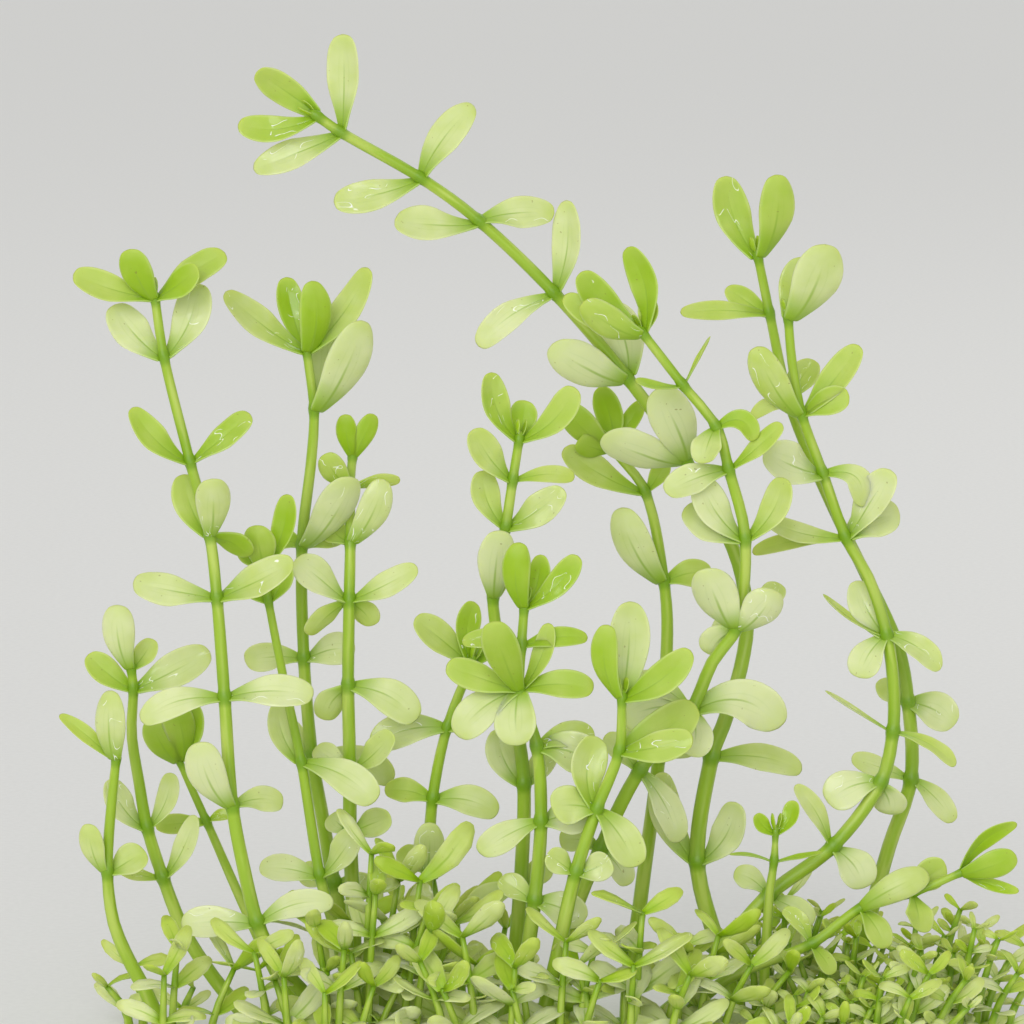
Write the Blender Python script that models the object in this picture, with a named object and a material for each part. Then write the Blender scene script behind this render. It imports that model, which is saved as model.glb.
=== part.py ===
"""A clump of water hyssop, cut off flat at the ground: eighteen leafy stems, the creeping stems that tie
them together, and the short shoots of the mat they rise from. Metres, +Z up, the front towards -Y, and the
origin in the middle of the underside."""

import math
import random

import bmesh
import bpy
from mathutils import Vector

MM = 0.001

# The plant was measured in a front view, taken from a little above and from this far away.
VIEW_TILT = math.radians(8.0)
VIEW_DISTANCE = 0.9

# Moves the clump over the origin, which is the middle of its underside.
CENTRE_X = -0.85
CENTRE_Y = -3.4

STEM_SIDES = 6
FOOT_DIAMETER = 2.3
TOP_DIAMETER = 1.3
JOINT_HEIGHT = 1.3
JOINT_SWELLING = 1.16
BUD_HEIGHT = 1.3
BUD_SHARE = 0.45

# A leaf blade is narrow where it joins the stem, widest past its middle, and ends in a round tip. Each pair
# is a place along the blade and the share of the full width there.
LONG_BLADE = ((0.36, 0.76), (0.74, 1.0), (1.0, 0.36))
SHORT_BLADE = ((0.62, 1.0), (1.0, 0.38))
LONG_LEAF = 12.5
BLADE_THICKNESS = 0.5
LEAF_GAP = 1.0

# A leaf that spreads arches over, one that stands up is hollow towards its stem, and its twist is done by
# this share of its length.
SPREAD_BEND = 0.08
ERECT_BEND = -0.12
TWISTED_BY = 0.5
FOOT_SHARE = 0.3

# So many of the largest leaves are pieces of their own.
OWN_LEAVES = 19

# The short shoots are thin. Their leaves get smaller and stand up more towards the top, and no two pairs are
# alike.
SHOOT_THICKNESS = 0.62
SHOOT_JOINT_SPACING = 8.0
SHOOT_SIDES = 4
SHOOT_LEAF_TURN = 0.15
SHOOT_LEAF_SHAPE = 0.42
SHOOT_TOP_LEAF = 0.75
SHOOT_LOW_RISE = 0.25
SHOOT_TOP_RISE = 0.75
UNEVEN_DEGREES = 12
UNEVEN_SIZE = (0.8, 1.05)

CREEPER_DIAMETER = 2.6
CREEPER_SIDES = 8

STEM_GREEN = (0.29, 0.53, 0.06)
LEAF_GREEN = (0.60, 0.74, 0.28)
MAT_GREEN = (0.36, 0.57, 0.10)


def leaf(right, back, up, width, turn=0.7, bend=None):
    """A leaf: its reach from its joint, its width, how far its face turns to the front, and how it arches."""
    return {"reach": Vector((right, back, up)), "width": width, "turn": turn, "bend": bend}


def joint(x, depth, height, *leaves):
    """A place on a stem as seen in the front view, in millimetres, with the leaves that grow there."""
    return {"seen": (x, depth, height), "leaves": leaves}


# Each stem runs from its foot on the ground to its tip.
STEMS = {
    "left_tall_stem": [
        joint(-28.5, -9, 0),
        joint(-33, -10.5, 5.5),
        joint(-39, -12, 12.5),
        joint(-41.5, -12, 18, leaf(-11, 1.5, -0.5, 5), leaf(11, -1, 3, 4.2), leaf(7.5, 5, -2.5, 1.8, 0.2)),
        joint(-43, -12, 24),
        joint(-45, -12, 35, leaf(-4.3, -4, 10, 6), leaf(7.3, 4, -0.3, 4.2)),
        joint(-46, -11, 50.5, leaf(-12, -1.5, -3, 4.8), leaf(12.7, -1, 0.4, 5.2)),
        joint(-47, -10, 64.7, leaf(-12, 1, 2, 5.2), leaf(11, -2, 5.6, 5.5)),
        joint(-48, -9, 73.6, leaf(-3.7, 3, 8.3, 5), leaf(0.6, -5, 9, 5.3), leaf(5.6, 4, -3.5, 4)),
        joint(-50.7, -8, 84, leaf(-7.8, -1, 8, 4.3), leaf(8.3, 1, 7, 4.3)),
        joint(-54.3, -7, 98.8, leaf(-7.1, 2, 7.3, 5.8), leaf(4.4, 3, 10.3, 5.8)),
        joint(-55.5, -6, 107, leaf(-11.5, -1, 3.6, 4.6), leaf(-3.2, -2, 7.3, 5), leaf(6.3, -2.5, 4.6, 4.6),
              leaf(9.8, 1.5, 6.6, 5)),
    ],
    "second_tall_stem": [
        joint(-24.7, 9, 0),
        joint(-28, 9, 12),
        joint(-30.3, 8.5, 22, leaf(5.5, -2, -1, 5), leaf(-5, 2, 2, 4)),
        joint(-32, 8, 32),
        joint(-33.4, 8, 40.5, leaf(12, 1.5, -4, 5), leaf(-5, 3, 5, 4.5)),
        joint(-34.5, 8, 54.5, leaf(7.5, -2, 1.8, 5.2), leaf(-8.8, 2, -0.8, 4.5)),
        joint(-34.7, 8, 70.7, leaf(7, -6.5, 11.3, 6.3), leaf(-4.5, 3, 1, 3.5), leaf(6, 3, 1, 3.8)),
        joint(-33.3, 8, 83),
        joint(-32.9, 8, 90, leaf(6.7, -4, 13.7, 6.8), leaf(1.5, 5, 13, 6)),
        joint(-33.9, 8, 98.4, leaf(-11.3, -1, 8.9, 4.8), leaf(-3, 3.5, 10.3, 4.2), leaf(0.6, -2.5, 10.4, 5.2),
              leaf(8.9, 1, 12, 5)),
    ],
    "thin_side_stem": [
        joint(-27.5, -3, 0),
        joint(-30, -3, 15),
        joint(-32.4, -2.5, 24, leaf(-8.8, 1, 1, 4.4), leaf(5, -2, 7, 5)),
        joint(-35, -2, 40.4, leaf(-3.2, 1.5, 8.5, 4), leaf(10.7, -2.5, -5.4, 5.5)),
        joint(-37, -2, 50),
        joint(-39.6, -2, 63.6, leaf(-3, 2, 4, 4), leaf(2.5, 2, 5, 3.5)),
        joint(-40.3, -2, 68.5, leaf(-1, -2, 6.3, 5), leaf(3.4, 1, 10.4, 3.8), leaf(-3, 1.5, 3, 3.5)),
    ],
    "third_stem": [
        joint(-27.5, 3, 0),
        joint(-27.5, 3, 15),
        joint(-28, 2.5, 30, leaf(6, -2, 2.5, 4.5), leaf(-3, 2, 2, 4)),
        joint(-28, 2, 39, leaf(-5, 2, 3, 4), leaf(6, -3, 6, 4.5)),
        joint(-28.2, 1.5, 51.2, leaf(10, -1.5, -4.8, 5.8), leaf(-3.5, 2, -5.5, 4.5)),
        joint(-28, 2, 63.4, leaf(-7.6, -1, 6.2, 5.4), leaf(9.8, -1, 5, 4.3), leaf(3.5, 2, -4, 4),
              leaf(-6, 2, -5.5, 3.5)),
        joint(-27.8, 5, 71.4, leaf(4.8, -2, 9.5, 5), leaf(-3.5, 4, 2, 4)),
        joint(-27.8, 9, 79, leaf(7.3, 2, 0.6, 2.4), leaf(-3.6, -1, 5, 4.2)),
        joint(-27.4, 12, 83, leaf(-1, -1, 6.4, 3.3), leaf(2.9, 0.5, 6.2, 3.3)),
    ],
    "middle_stem": [
        joint(-6, 2, 0),
        joint(-4.5, 2, 10),
        joint(-3.5, 1.5, 22, leaf(-7.5, 1, -4.5, 4.5), leaf(4, 3, 3, 4)),
        joint(-3, 1, 37, leaf(-3.6, 1, 7.8, 5), leaf(4, 3, 5, 4)),
        joint(-4.5, 1, 48),
        joint(-6.5, 1, 57),
        joint(-7.4, 0.5, 64, leaf(0.8, -3.5, 10.2, 5.6), leaf(1, 3.5, 8, 5)),
        joint(-5.6, 0, 74, leaf(-3.2, 1.5, 8, 4.6), leaf(8.2, -1.5, 5.8, 5)),
        joint(-4.6, 0, 80.7, leaf(-5.5, -1.5, 7.6, 4.8), leaf(9, 2, 0.2, 2.8)),
        joint(-3.7, 0, 86.4, leaf(-3.9, -1, 9.9, 4.6), leaf(7.8, -1, 7.8, 4.6), leaf(0.8, 2.5, 5.4, 4.2)),
    ],
    "front_middle_stem": [
        joint(-4, -9, 0),
        joint(-2.5, -10, 13.5),
        joint(-1.5, -10, 21, leaf(7, -1, -3, 5.5), leaf(-5, 2, 3, 4)),
        joint(-0.6, -10, 32.5, leaf(-8.8, -1, -4.5, 4.6), leaf(7, -1, 1.5, 7)),
        joint(-1.2, -10, 43.3, leaf(9, 1.5, -3, 6.5), leaf(8.5, 4, 1, 4.5)),
        joint(-3.7, -10, 51.6, leaf(10.6, 0, 0, 4.6), leaf(-10.3, -1, 3.7, 4.6), leaf(4, 1.5, 9.3, 3.2),
              leaf(-3.8, -6.5, 11, 5.5), leaf(-9, -1.5, -6.5, 6), leaf(-0.3, -4, -7.5, 6.5)),
        joint(-3.4, -9, 57.8, leaf(9.5, 1, 1, 3.3), leaf(-8.6, 1, 0.5, 3.2)),
        joint(-3, -8.5, 63.2, leaf(-0.6, -1.5, 9.6, 4.4), leaf(7.6, -0.5, 7.6, 4), leaf(2.2, 2, 7.3, 3.8)),
    ],
    "left_middle_stem": [
        joint(-13.5, 6, 0),
        joint(-15, 6, 8),
        joint(-17.3, 6, 15),
        joint(-16.8, 5.5, 24, leaf(0.2, -3.5, 8, 4.8), leaf(-4, 3, 3, 4)),
        joint(-16.1, 5, 34.5, leaf(9.5, -1, -2, 5), leaf(-7, 1, 1, 4)),
        joint(-14, 5, 44.8, leaf(-11, -1, -2.5, 5.6), leaf(6, -2, 4, 5)),
        joint(-10.5, 5, 54, leaf(-8.2, -1, 6.8, 5), leaf(0.5, 0, 9, 4), leaf(4, 2, 5, 4)),
    ],
    "long_arching_stem": [
        joint(28.5, 6, 0),
        joint(27, 6, 6.5),
        joint(25, 6, 13),
        joint(22, 6, 25.3, leaf(5.4, -2, 9.2, 5.6), leaf(-5, 1.5, 13, 5.2)),
        joint(24, 6, 40.5, leaf(13.6, 2, -2.2, 4.6), leaf(-3, 2, 6.5, 5)),
        joint(26, 6, 46),
        joint(28.3, 7, 54),
        joint(29, 8, 61, leaf(-4, 2, -4.5, 5), leaf(5, 2, 4, 4)),
        joint(27, 9, 70),
        joint(20, 8, 83, leaf(-11.8, -4.5, 4.6, 6.5), leaf(-4.3, -5.5, 11, 6.9)),
        joint(11.7, 7, 94.7, leaf(-10.8, -3, 5.3, 7), leaf(-2.8, 2.5, 10.3, 6.8)),
        joint(1.3, 6, 106.8, leaf(1.2, 1, 13.2, 5.1), leaf(-11, -1.5, -7.5, 4.5)),
        joint(-9.3, 5, 117, leaf(-12, -2, 0.6, 5.6), leaf(10.9, 2, 1, 5.2)),
        joint(-17.7, 4, 123.2, leaf(7.6, 1, 10.5, 5.5), leaf(-12.4, -1, -3.3, 5.2)),
        joint(-29, 3, 129.7, leaf(0.4, 0.5, 14, 5.3), leaf(-12.5, -1, -4.9, 4.9)),
        joint(-32.3, 2.5, 132, leaf(-8.6, -1, 6.2, 4.8), leaf(-11.3, -0.5, -1.2, 4.4)),
    ],
    "second_arching_stem": [
        joint(0.5, -3, 0),
        joint(1.5, -3, 9),
        joint(4, -3, 18),
        joint(8, -3.5, 28, leaf(4, -2, -5, 4), leaf(-6, 1, 1, 4)),
        joint(13.6, -4, 39.3, leaf(6, 2, -11, 5), leaf(-5, 1, 5, 4)),
        joint(21, -4, 48.2, leaf(-10, -1, -1.5, 6.2), leaf(12.8, 3, -3.5, 7, 0.7, 0.25), leaf(0, -5, -6, 5.5),
              leaf(-9, 2, 4, 4)),
        joint(24, -4, 55),
        joint(27.4, -4, 60, leaf(-4.4, -3.5, 9.2, 6.8), leaf(5, -3, 6, 6.2), leaf(-4, 2.5, -4.2, 5.2)),
        joint(28.6, -4, 72.6, leaf(-6.3, -1, 9, 5.4), leaf(5.3, 1, 8.8, 4.8), leaf(-8.6, 1.5, 4.5, 5.8)),
        joint(26.2, -4, 82.6, leaf(7.3, -1, 6.8, 3.2), leaf(-9, -1.5, -3.3, 5)),
        joint(24.4, -4, 88.6, leaf(5.3, -0.5, -2, 3.5, 0.7, 0.35), leaf(-2, -3, -4.8, 4.8)),
        joint(19.6, -4, 94.6, leaf(3.8, 0.5, 7, 1.8, 0.15), leaf(-6.7, -0.5, 1, 2.6, 0.3)),
        joint(13.9, -4, 101.9, leaf(-2.6, 0.5, 12, 4.8), leaf(-8.8, 1.5, 8.7, 5), leaf(-8.4, -2, 5, 5.2),
              leaf(0.6, 1, 5, 3.2), leaf(-11, 1, 5.5, 4)),
    ],
    "inner_right_stem": [
        joint(12, 14, 0),
        joint(14, 14, 20),
        joint(16.5, 14, 40, leaf(-6, 1, 3, 4.5), leaf(6, 1, 3, 4.5)),
        joint(17.6, 14.5, 57),
        joint(17.1, 15, 65, leaf(-6.3, -3, 11.3, 6.2), leaf(7, 1, 1, 4.6)),
        joint(14.4, 15, 77.8, leaf(-11.9, -1, 6.6, 4.8), leaf(3, 1, 4.5, 3)),
        joint(9.6, 15, 84, leaf(-2, 1, 8.8, 5), leaf(-6.8, -1.5, 6.8, 5), leaf(-5, -2, 1.5, 4.4),
              leaf(4.5, 1.5, 6.8, 3)),
    ],
    "front_right_stem": [
        joint(-1, -15, 0),
        joint(2, -15, 14.5),
        joint(4.4, -14.5, 25.5, leaf(5, -1, 2, 4.5), leaf(-4, -1, 3, 4)),
        joint(7.4, -14, 34.6, leaf(0.3, 1.5, 10, 5.6), leaf(5.6, -2, -8, 5.6), leaf(-6.5, -1, 0.5, 6)),
        joint(10.6, -14, 43, leaf(11, 4.5, 6, 6.5), leaf(10.2, -3.5, 2.6, 5)),
        joint(11, -14, 50.6, leaf(-1.9, -1, 10.8, 4.2), leaf(1.2, 2.5, 13.2, 6.2), leaf(9.5, -2, 7.2, 5)),
    ],
    "back_right_stem": [
        joint(43, 14, 0),
        joint(46.5, 14, 15),
        joint(49.7, 14, 27),
        joint(52.7, 14, 36.6, leaf(6.3, -1, -6.3, 3.8), leaf(-8.7, 1, 3, 3.4)),
        joint(52.2, 14, 47.7, leaf(6.8, -0.5, -3.5, 6), leaf(-4, 3, 3, 4)),
        joint(50.6, 13, 56),
        joint(46, 13, 66),
        joint(41.5, 13, 75),
        joint(37, 13, 85),
        joint(34.6, 13, 91.5, leaf(-4, 3, 5, 4.5), leaf(4, 3, 5, 4.5)),
        joint(32, 13, 103.3, leaf(-6, 1.5, 3.9, 4), leaf(-13, -1, 0.3, 3.2)),
        joint(30.3, 13, 111.3, leaf(-4.6, 1.5, 11.6, 5.6), leaf(2.2, -2.5, 12.2, 5.6)),
    ],
    "tall_right_stem": [
        joint(15, 0, 0),
        joint(21, 0.5, 7),
        joint(26, 1, 13.5),
        joint(32.3, 2, 20.8, leaf(6.5, -1, -4, 4.2), leaf(-5, 2, 3, 4)),
        joint(41.5, 3, 27.8, leaf(-5.6, -1, 9.2, 3.2), leaf(4.5, -2, -5.8, 6)),
        joint(48.3, 4, 37, leaf(-7.8, -1.5, -2.7, 6), leaf(1.6, 2, -5.2, 5.2)),
        joint(50, 4, 44.3, leaf(-9.9, 0.5, 5.9, 1.8, 0.2), leaf(9.2, -1, -4.8, 3, 0.4)),
        joint(50, 4, 51),
        joint(49, 4, 58.2, leaf(-9, 1, 6, 2.4, 0.25), leaf(-4.3, 2, 7.6, 5.2), leaf(7.7, -1, -5, 4.2),
              leaf(-4, -2, -6, 5.2)),
        joint(46.5, 4, 66),
        joint(43, 4, 72.2, leaf(-11.8, 1, 2.6, 3.4), leaf(-13.5, 3.5, -2.6, 2.8), leaf(6, -2, 10, 5.4),
              leaf(8, 2, 3, 6.2)),
        joint(39.7, 4, 81.3, leaf(-8.5, -2.5, 3.7, 7), leaf(5.7, -1, -5, 4.2, 0.7, 0.4)),
        joint(36.6, 4, 89.7, leaf(8.2, 0.5, 10, 4.8), leaf(6.7, -1.5, 2.8, 4.4), leaf(-6.6, -2.5, 10.2, 5.2),
              leaf(-7.2, 1, -0.8, 2.4, 0.7, 0.3)),
        joint(35.2, 4, 97),
        joint(34.6, 4, 103.3, leaf(5, -4, 11.2, 7.6), leaf(2, 4.5, 8.5, 6)),
    ],
    "low_left_stem": [
        joint(-55, -5, 0),
        joint(-57, -6, 6),
        joint(-60.5, -6, 13),
        joint(-62.3, -6, 18),
        joint(-63, -6, 24.8, leaf(-2.3, -1, 7.3, 4), leaf(5.3, 1, 3, 5)),
        joint(-62.5, -6, 33),
        joint(-61.6, -6, 41.2, leaf(-0.3, -2, 10.3, 5), leaf(-7.9, 1, 6.5, 2.6)),
    ],
    "left_branching_stem": [
        joint(-41, 2, 0),
        joint(-44, 2.5, 4),
        joint(-48, 3, 9),
        joint(-52, 3, 15.5),
        joint(-55, 3, 23.3, leaf(4.3, -1, 9.3, 3.8), leaf(-7.3, -1, 2.5, 2.4)),
        joint(-57.2, 3, 30.5, leaf(-5.2, -1, 7.4, 4.6), leaf(3.3, 1, 7.9, 3.6)),
        joint(-58.3, 3, 37),
        joint(-59.3, 3, 44),
        joint(-59, 3, 50.5, leaf(11, 0.5, 5.5, 5.6), leaf(-6.5, 1, 5, 4.4)),
        joint(-59.3, 3, 53.5, leaf(-1.6, -1, 9.4, 5.2), leaf(3, 2, 4, 3.5)),
    ],
    "short_left_stem": [
        joint(-35, 10, 0),
        joint(-39, 10.5, 9),
        joint(-44, 11, 20),
        joint(-48.6, 11, 30.7, leaf(-7.6, 0.5, -0.5, 3.4), leaf(4, -1, 1.2, 2)),
        joint(-52.5, 11, 39.5, leaf(-3.8, -1, 6.5, 5), leaf(-1.5, -1.5, 9, 5.2), leaf(1.7, 1, 8.5, 4.6)),
    ],
    "right_creeping_stem": [
        joint(16, -9, 0),
        joint(21, -9, 5),
        joint(27, -9, 9.9),
        joint(38.4, -9, 14.6, leaf(-4, 1, 5, 3), leaf(3, -2, -4, 3)),
        joint(45.6, -9, 19.9, leaf(9.5, -1, 5.2, 4.6), leaf(3.5, -2, -5.5, 4)),
        joint(52.9, -9, 22, leaf(1, -3, -5, 5), leaf(5, 1.5, 3.5, 5)),
        joint(60, -9, 25, leaf(8, 0.5, 6.8, 3), leaf(7.5, -1, 2.8, 4.4), leaf(8.3, 0, -2.6, 2)),
    ],
    "small_sprout": [
        joint(31.5, -2, 0),
        joint(32.3, -2, 20.5),
        joint(33, -2, 26, leaf(-6.5, -1, 1.5, 1.6, 0.2), leaf(7, 1, 1.2, 1.6, 0.2)),
        joint(33.2, -2, 30, leaf(-2.8, -0.5, 3, 2.6), leaf(2.5, 0.5, 4.8, 2.8)),
    ],
}

# Stems thinner than the others, as a share of the usual thickness.
SLIMNESS = {"thin_side_stem": 0.8, "small_sprout": 0.7, "right_creeping_stem": 0.85, "short_left_stem": 0.8}

# The short shoots of the mat: where each stands, how tall it is, how far it leans to the right, its leaf
# length and which way its first pair of leaves points, in degrees.
SHORT_SHOOTS = [
    ((-58, 8), 9, -1, 6, 0),
    ((-54, -16), 17, 1, 7, 30),
    ((-40, -19), 17, -2, 8, 70),
    ((-20, -13), 26, 2, 8, 15),
    ((-10, -22), 20, -2, 8, 60),
    ((13, -20), 23, 1, 8, 0),
    ((22, -17), 19, 3, 8, 45),
    ((36, -18), 11, 2, 6, 10),
    ((51, -19), 16, 3, 6, 60),
    ((60, -4), 17, 2, 6, 20),
    ((44, 4), 14, 1, 5, 80),
    ((57, 13), 16, 3, 6, 40),
    ((-14, 15), 20, -2, 8, 0),
    ((34, 12), 18, 1, 7, 45),
    ((-26, -13), 30, 1, 8, 45),
    ((-30, -21), 18, 1, 7, 15),
    ((2, -21), 19, 1, 7, 45),
    ((30, -19), 9, 2, 5, 75),
    ((44, -17), 13, 2, 5, 30),
    ((52, 3), 13, 1, 4, 30),
]

# The creeping stems lie on the ground between the feet of the others, each from the left to the right.
CREEPERS = {
    "left_creeping_stem": [(-66, 0), (-58, -1.5), (-48, -3), (-38, -3.5), (-31, -5)],
    "middle_creeping_stem": [(-24, 1), (-18, 0), (-10, -3), (-4, -5.6), (4, -7.5), (11, -8)],
    "back_creeping_stem": [(-20, 12), (-8, 10), (4, 9), (14, 8), (24, 10), (34, 8), (48, 9), (62, 4)],
}


def stand(x, depth, height):
    """The place in metres of a point that the front view shows at x and height, so far behind the middle."""
    nearer = 1 + depth / VIEW_DISTANCE * MM
    z = (height * nearer - depth * math.sin(VIEW_TILT)) / math.cos(VIEW_TILT)
    return Vector((x * nearer - CENTRE_X, depth - CENTRE_Y, z)) * MM


def route(joints):
    """A stem's joints in metres. The foot is on the ground, and no joint is lower than a stem's thickness."""
    places = [stand(*j["seen"]) for j in joints]
    places[0].z = 0
    for place in places[1:]:
        place.z = max(place.z, FOOT_DIAMETER * MM)
    return places


def directions(places):
    """The way the stem runs at each of its places."""
    ends = [places[0], *places, places[-1]]
    runs = [(after - before).normalized() for before, after in zip(ends[:-2], ends[2:])]
    runs[0] = Vector((0, 0, 1))
    return runs


def ring_points(centre, run, radius, sides):
    """The corners of a stem's cross-section, with a flat side to the front."""
    across = run.cross(Vector((0, 1, 0))).normalized()
    front = across.cross(run).normalized()
    turns = [math.pi * (2 * k + 1) / sides for k in range(sides)]
    return [centre + (front * math.cos(a) + across * math.sin(a)) * radius for a in turns]


def grow(bm, corners, places):
    """Extrudes the face between the given corners and moves its new corners to their places."""
    face = next(f for f in corners[0].link_faces if set(f.verts) == set(corners))
    made = bmesh.ops.extrude_face_region(bm, geom=[face, *face.edges])["geom"]
    new = [v for v in made if isinstance(v, bmesh.types.BMVert)]
    ordered = [min(new, key=lambda v: (v.co - c.co).length) for c in corners]
    for corner, place in zip(ordered, places):
        corner.co = place
    return ordered


def start_face(bm, places):
    """One face with its corners at the given places."""
    made = bmesh.ops.create_circle(bm, cap_ends=True, segments=len(places), radius=MM)["verts"]
    for corner, place in zip(made, places):
        corner.co = place
    return made


def blade_sections(root, tip, entry, run):
    """The four corners of each cross-section of a leaf, from the stem to the tip."""
    axis = (tip - root).normalized()
    upward = (run - axis * run.dot(axis)).normalized()
    towards = Vector((0, -1, 0))
    facing = (towards - axis * towards.dot(axis)).normalized()
    length = (tip - root).length
    bend = entry["bend"]
    if bend is None:
        bend = SPREAD_BEND - (SPREAD_BEND - ERECT_BEND) * max(0, run.dot(axis))
    middle = (root + tip) / 2 + upward * length * bend * 2
    shape = LONG_BLADE if length > LONG_LEAF * MM else SHORT_BLADE
    sections = []
    for t, share in shape:
        turn = entry["turn"] * min(1, t / TWISTED_BY)
        normal = (upward * (1 - turn) + facing * turn).normalized()
        side = normal.cross(axis)
        centre = root * (1 - t) ** 2 + middle * 2 * t * (1 - t) + tip * t ** 2
        across = side * entry["width"] * MM * share / 2
        through = normal * BLADE_THICKNESS * MM / 2
        corners = [across + through, through - across, -across - through, across - through]
        sections.append([centre + c for c in corners])
    return sections


def fold_alike(bm, old, new, first):
    """Folds both wide sides of a stretch of blade along the same diagonal, so that a twist can't thin it."""
    right_top, left_top, left_low, right_low = [(n - first) % 4 for n in range(4)]
    bmesh.ops.connect_verts(bm, verts=[old[right_top], new[left_top]])
    bmesh.ops.connect_verts(bm, verts=[old[right_low], new[left_low]])


def newell(points):
    """The direction that a polygon's corners go round."""
    total = Vector()
    for a, b in zip(points, points[1:] + points[:1]):
        total += a.cross(b)
    return total


def grow_leaf(bm, socket, entry, place, run):
    """Grows a blade out of one side of a stem's joint."""
    corners = list(socket)
    root = sum((c.co for c in corners), Vector()) / len(corners)
    if newell([c.co - root for c in corners]).dot(root - place) < 0:
        corners.reverse()
    sections = blade_sections(root, place + entry["reach"] * MM, entry, run)
    turns = [sections[0][k:] + sections[0][:k] for k in range(4)]
    fits = [sum((c.co - p).length for c, p in zip(corners, t)) for t in turns]
    best = fits.index(min(fits))
    for section in sections:
        new = grow(bm, corners, section[best:] + section[:best])
        fold_alike(bm, corners, new, best)
        corners = new


def leaf_side(entry, rings, run, place, taken):
    """The side of the joint that faces the leaf's way and is still free."""
    reach = entry["reach"] - run * entry["reach"].dot(run)
    sides = len(rings[0])
    chances = []
    for k in range(sides):
        if k not in taken:
            corners = [ring[n % sides].co for ring in rings for n in (k, k + 1)]
            middle = sum(corners, Vector()) / len(corners)
            chances.append(((middle - place).normalized().dot(reach), k))
    return max(chances)[1]


def stem_radius(thickness, share):
    """A stem's radius in metres at this share of the way from its foot to its tip."""
    return thickness * (FOOT_DIAMETER + (TOP_DIAMETER - FOOT_DIAMETER) * share) * MM / 2


def build_stem(bm, joints, thickness, sides, owned):
    """Grows one stem from its foot to its bud, with every leaf that isn't a piece of its own."""
    places = route(joints)
    runs = directions(places)
    last = len(places) - 1
    radii = [stem_radius(thickness, k / last) for k in range(last + 1)]
    ring = start_face(bm, ring_points(places[0], runs[0], radii[0], sides))
    bands = []
    for k in range(1, last + 1):
        place, run, radius = places[k], runs[k], radii[k]
        if not joints[k]["leaves"]:
            ring = grow(bm, ring, ring_points(place, run, radius, sides))
            continue
        half = run * JOINT_HEIGHT * MM / 2
        wide = radius * JOINT_SWELLING
        lower = grow(bm, ring, ring_points(place - half, run, wide, sides))
        ring = grow(bm, lower, ring_points(place + half, run, wide, sides))
        bands.append((k, lower, ring))
    bud = places[last] + runs[last] * BUD_HEIGHT * MM
    grow(bm, ring, ring_points(bud, runs[last], radii[last] * BUD_SHARE, sides))
    for k, lower, upper in bands:
        taken = set()
        for entry in joints[k]["leaves"]:
            side = leaf_side(entry, (lower, upper), runs[k], places[k], taken)
            taken.add(side)
            if (k, entry["reach"][:]) in owned:
                continue
            after = (side + 1) % sides
            socket = (lower[side], lower[after], upper[after], upper[side])
            grow_leaf(bm, socket, entry, places[k], runs[k])


def build_own_leaf(bm, entry, place, run, radius):
    """A leaf that is a piece of its own: it starts a little off its stem."""
    reach = entry["reach"] * MM
    out = (reach - run * reach.dot(run)).normalized()
    root = place + out * (radius * JOINT_SWELLING + LEAF_GAP * MM)
    sections = blade_sections(root, place + reach, entry, run)
    outward = (place + reach - root).normalized()
    side = run.cross(outward).normalized() * entry["width"] * MM * FOOT_SHARE / 2
    through = outward.cross(side).normalized() * BLADE_THICKNESS * MM / 2
    foot = [root + side + through, root - side + through, root - side - through, root + side - through]
    if newell([c - root for c in foot]).dot(newell([c - root for c in sections[0]])) < 0:
        foot.reverse()
    turns = [foot[k:] + foot[:k] for k in range(4)]
    ring = start_face(bm, min(turns, key=lambda t: sum((a - b).length for a, b in zip(t, sections[0]))))
    for section in sections:
        new = grow(bm, ring, section)
        fold_alike(bm, ring, new, 0)
        ring = new


def build_creeper(bm, points):
    """A creeping stem: half sunk in the ground it was cut from, so that its underside is flat."""
    radius = CREEPER_DIAMETER * MM / 2
    places = [Vector((x - CENTRE_X, y - CENTRE_Y, 0)) * MM for x, y in points]
    ends = [places[0], *places, places[-1]]
    ring = None
    for before, place, after in zip(ends[:-2], places, ends[2:]):
        run = (after - before).normalized()
        across = run.cross(Vector((0, 0, 1)))
        arch = [math.pi * k / (CREEPER_SIDES - 1) for k in range(CREEPER_SIDES)]
        wall = [place + across * radius * math.cos(a) + Vector((0, 0, radius * math.sin(a))) for a in arch]
        ring = grow(bm, ring, wall) if ring else start_face(bm, wall)


def short_shoot(foot, height, lean, length, turn):
    """The joints of one short shoot, each pair of leaves a quarter turn from the one below."""
    draw = random.Random(f"{foot[0]} {foot[1]}")
    count = max(2, round(height / SHOOT_JOINT_SPACING))
    joints = [joint(foot[0], foot[1], 0)]
    for k in range(1, count + 1):
        share = k / count
        leaves = []
        for half in (0, 180):
            way = math.radians(turn + 90 * k + half + draw.uniform(-UNEVEN_DEGREES, UNEVEN_DEGREES))
            size = length * draw.uniform(*UNEVEN_SIZE) * (1 + (SHOOT_TOP_LEAF - 1) * share)
            rise = size * (SHOOT_LOW_RISE + (SHOOT_TOP_RISE - SHOOT_LOW_RISE) * share)
            width = size * SHOOT_LEAF_SHAPE
            leaves.append(leaf(size * math.cos(way), size * math.sin(way), rise, width, SHOOT_LEAF_TURN))
        x = foot[0] + lean * share * share
        joints.append(joint(x, foot[1], height * share + foot[1] * math.sin(VIEW_TILT), *leaves))
    return joints


def all_stems():
    """Every stem and short shoot by name: its joints, its share of the usual thickness, and its sides."""
    stems = {name: (joints, SLIMNESS.get(name, 1.0), STEM_SIDES) for name, joints in STEMS.items()}
    for number, shoot in enumerate(SHORT_SHOOTS, 1):
        stems[f"short_shoot_{number:02d}"] = (short_shoot(*shoot), SHOOT_THICKNESS, SHOOT_SIDES)
    return stems


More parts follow.
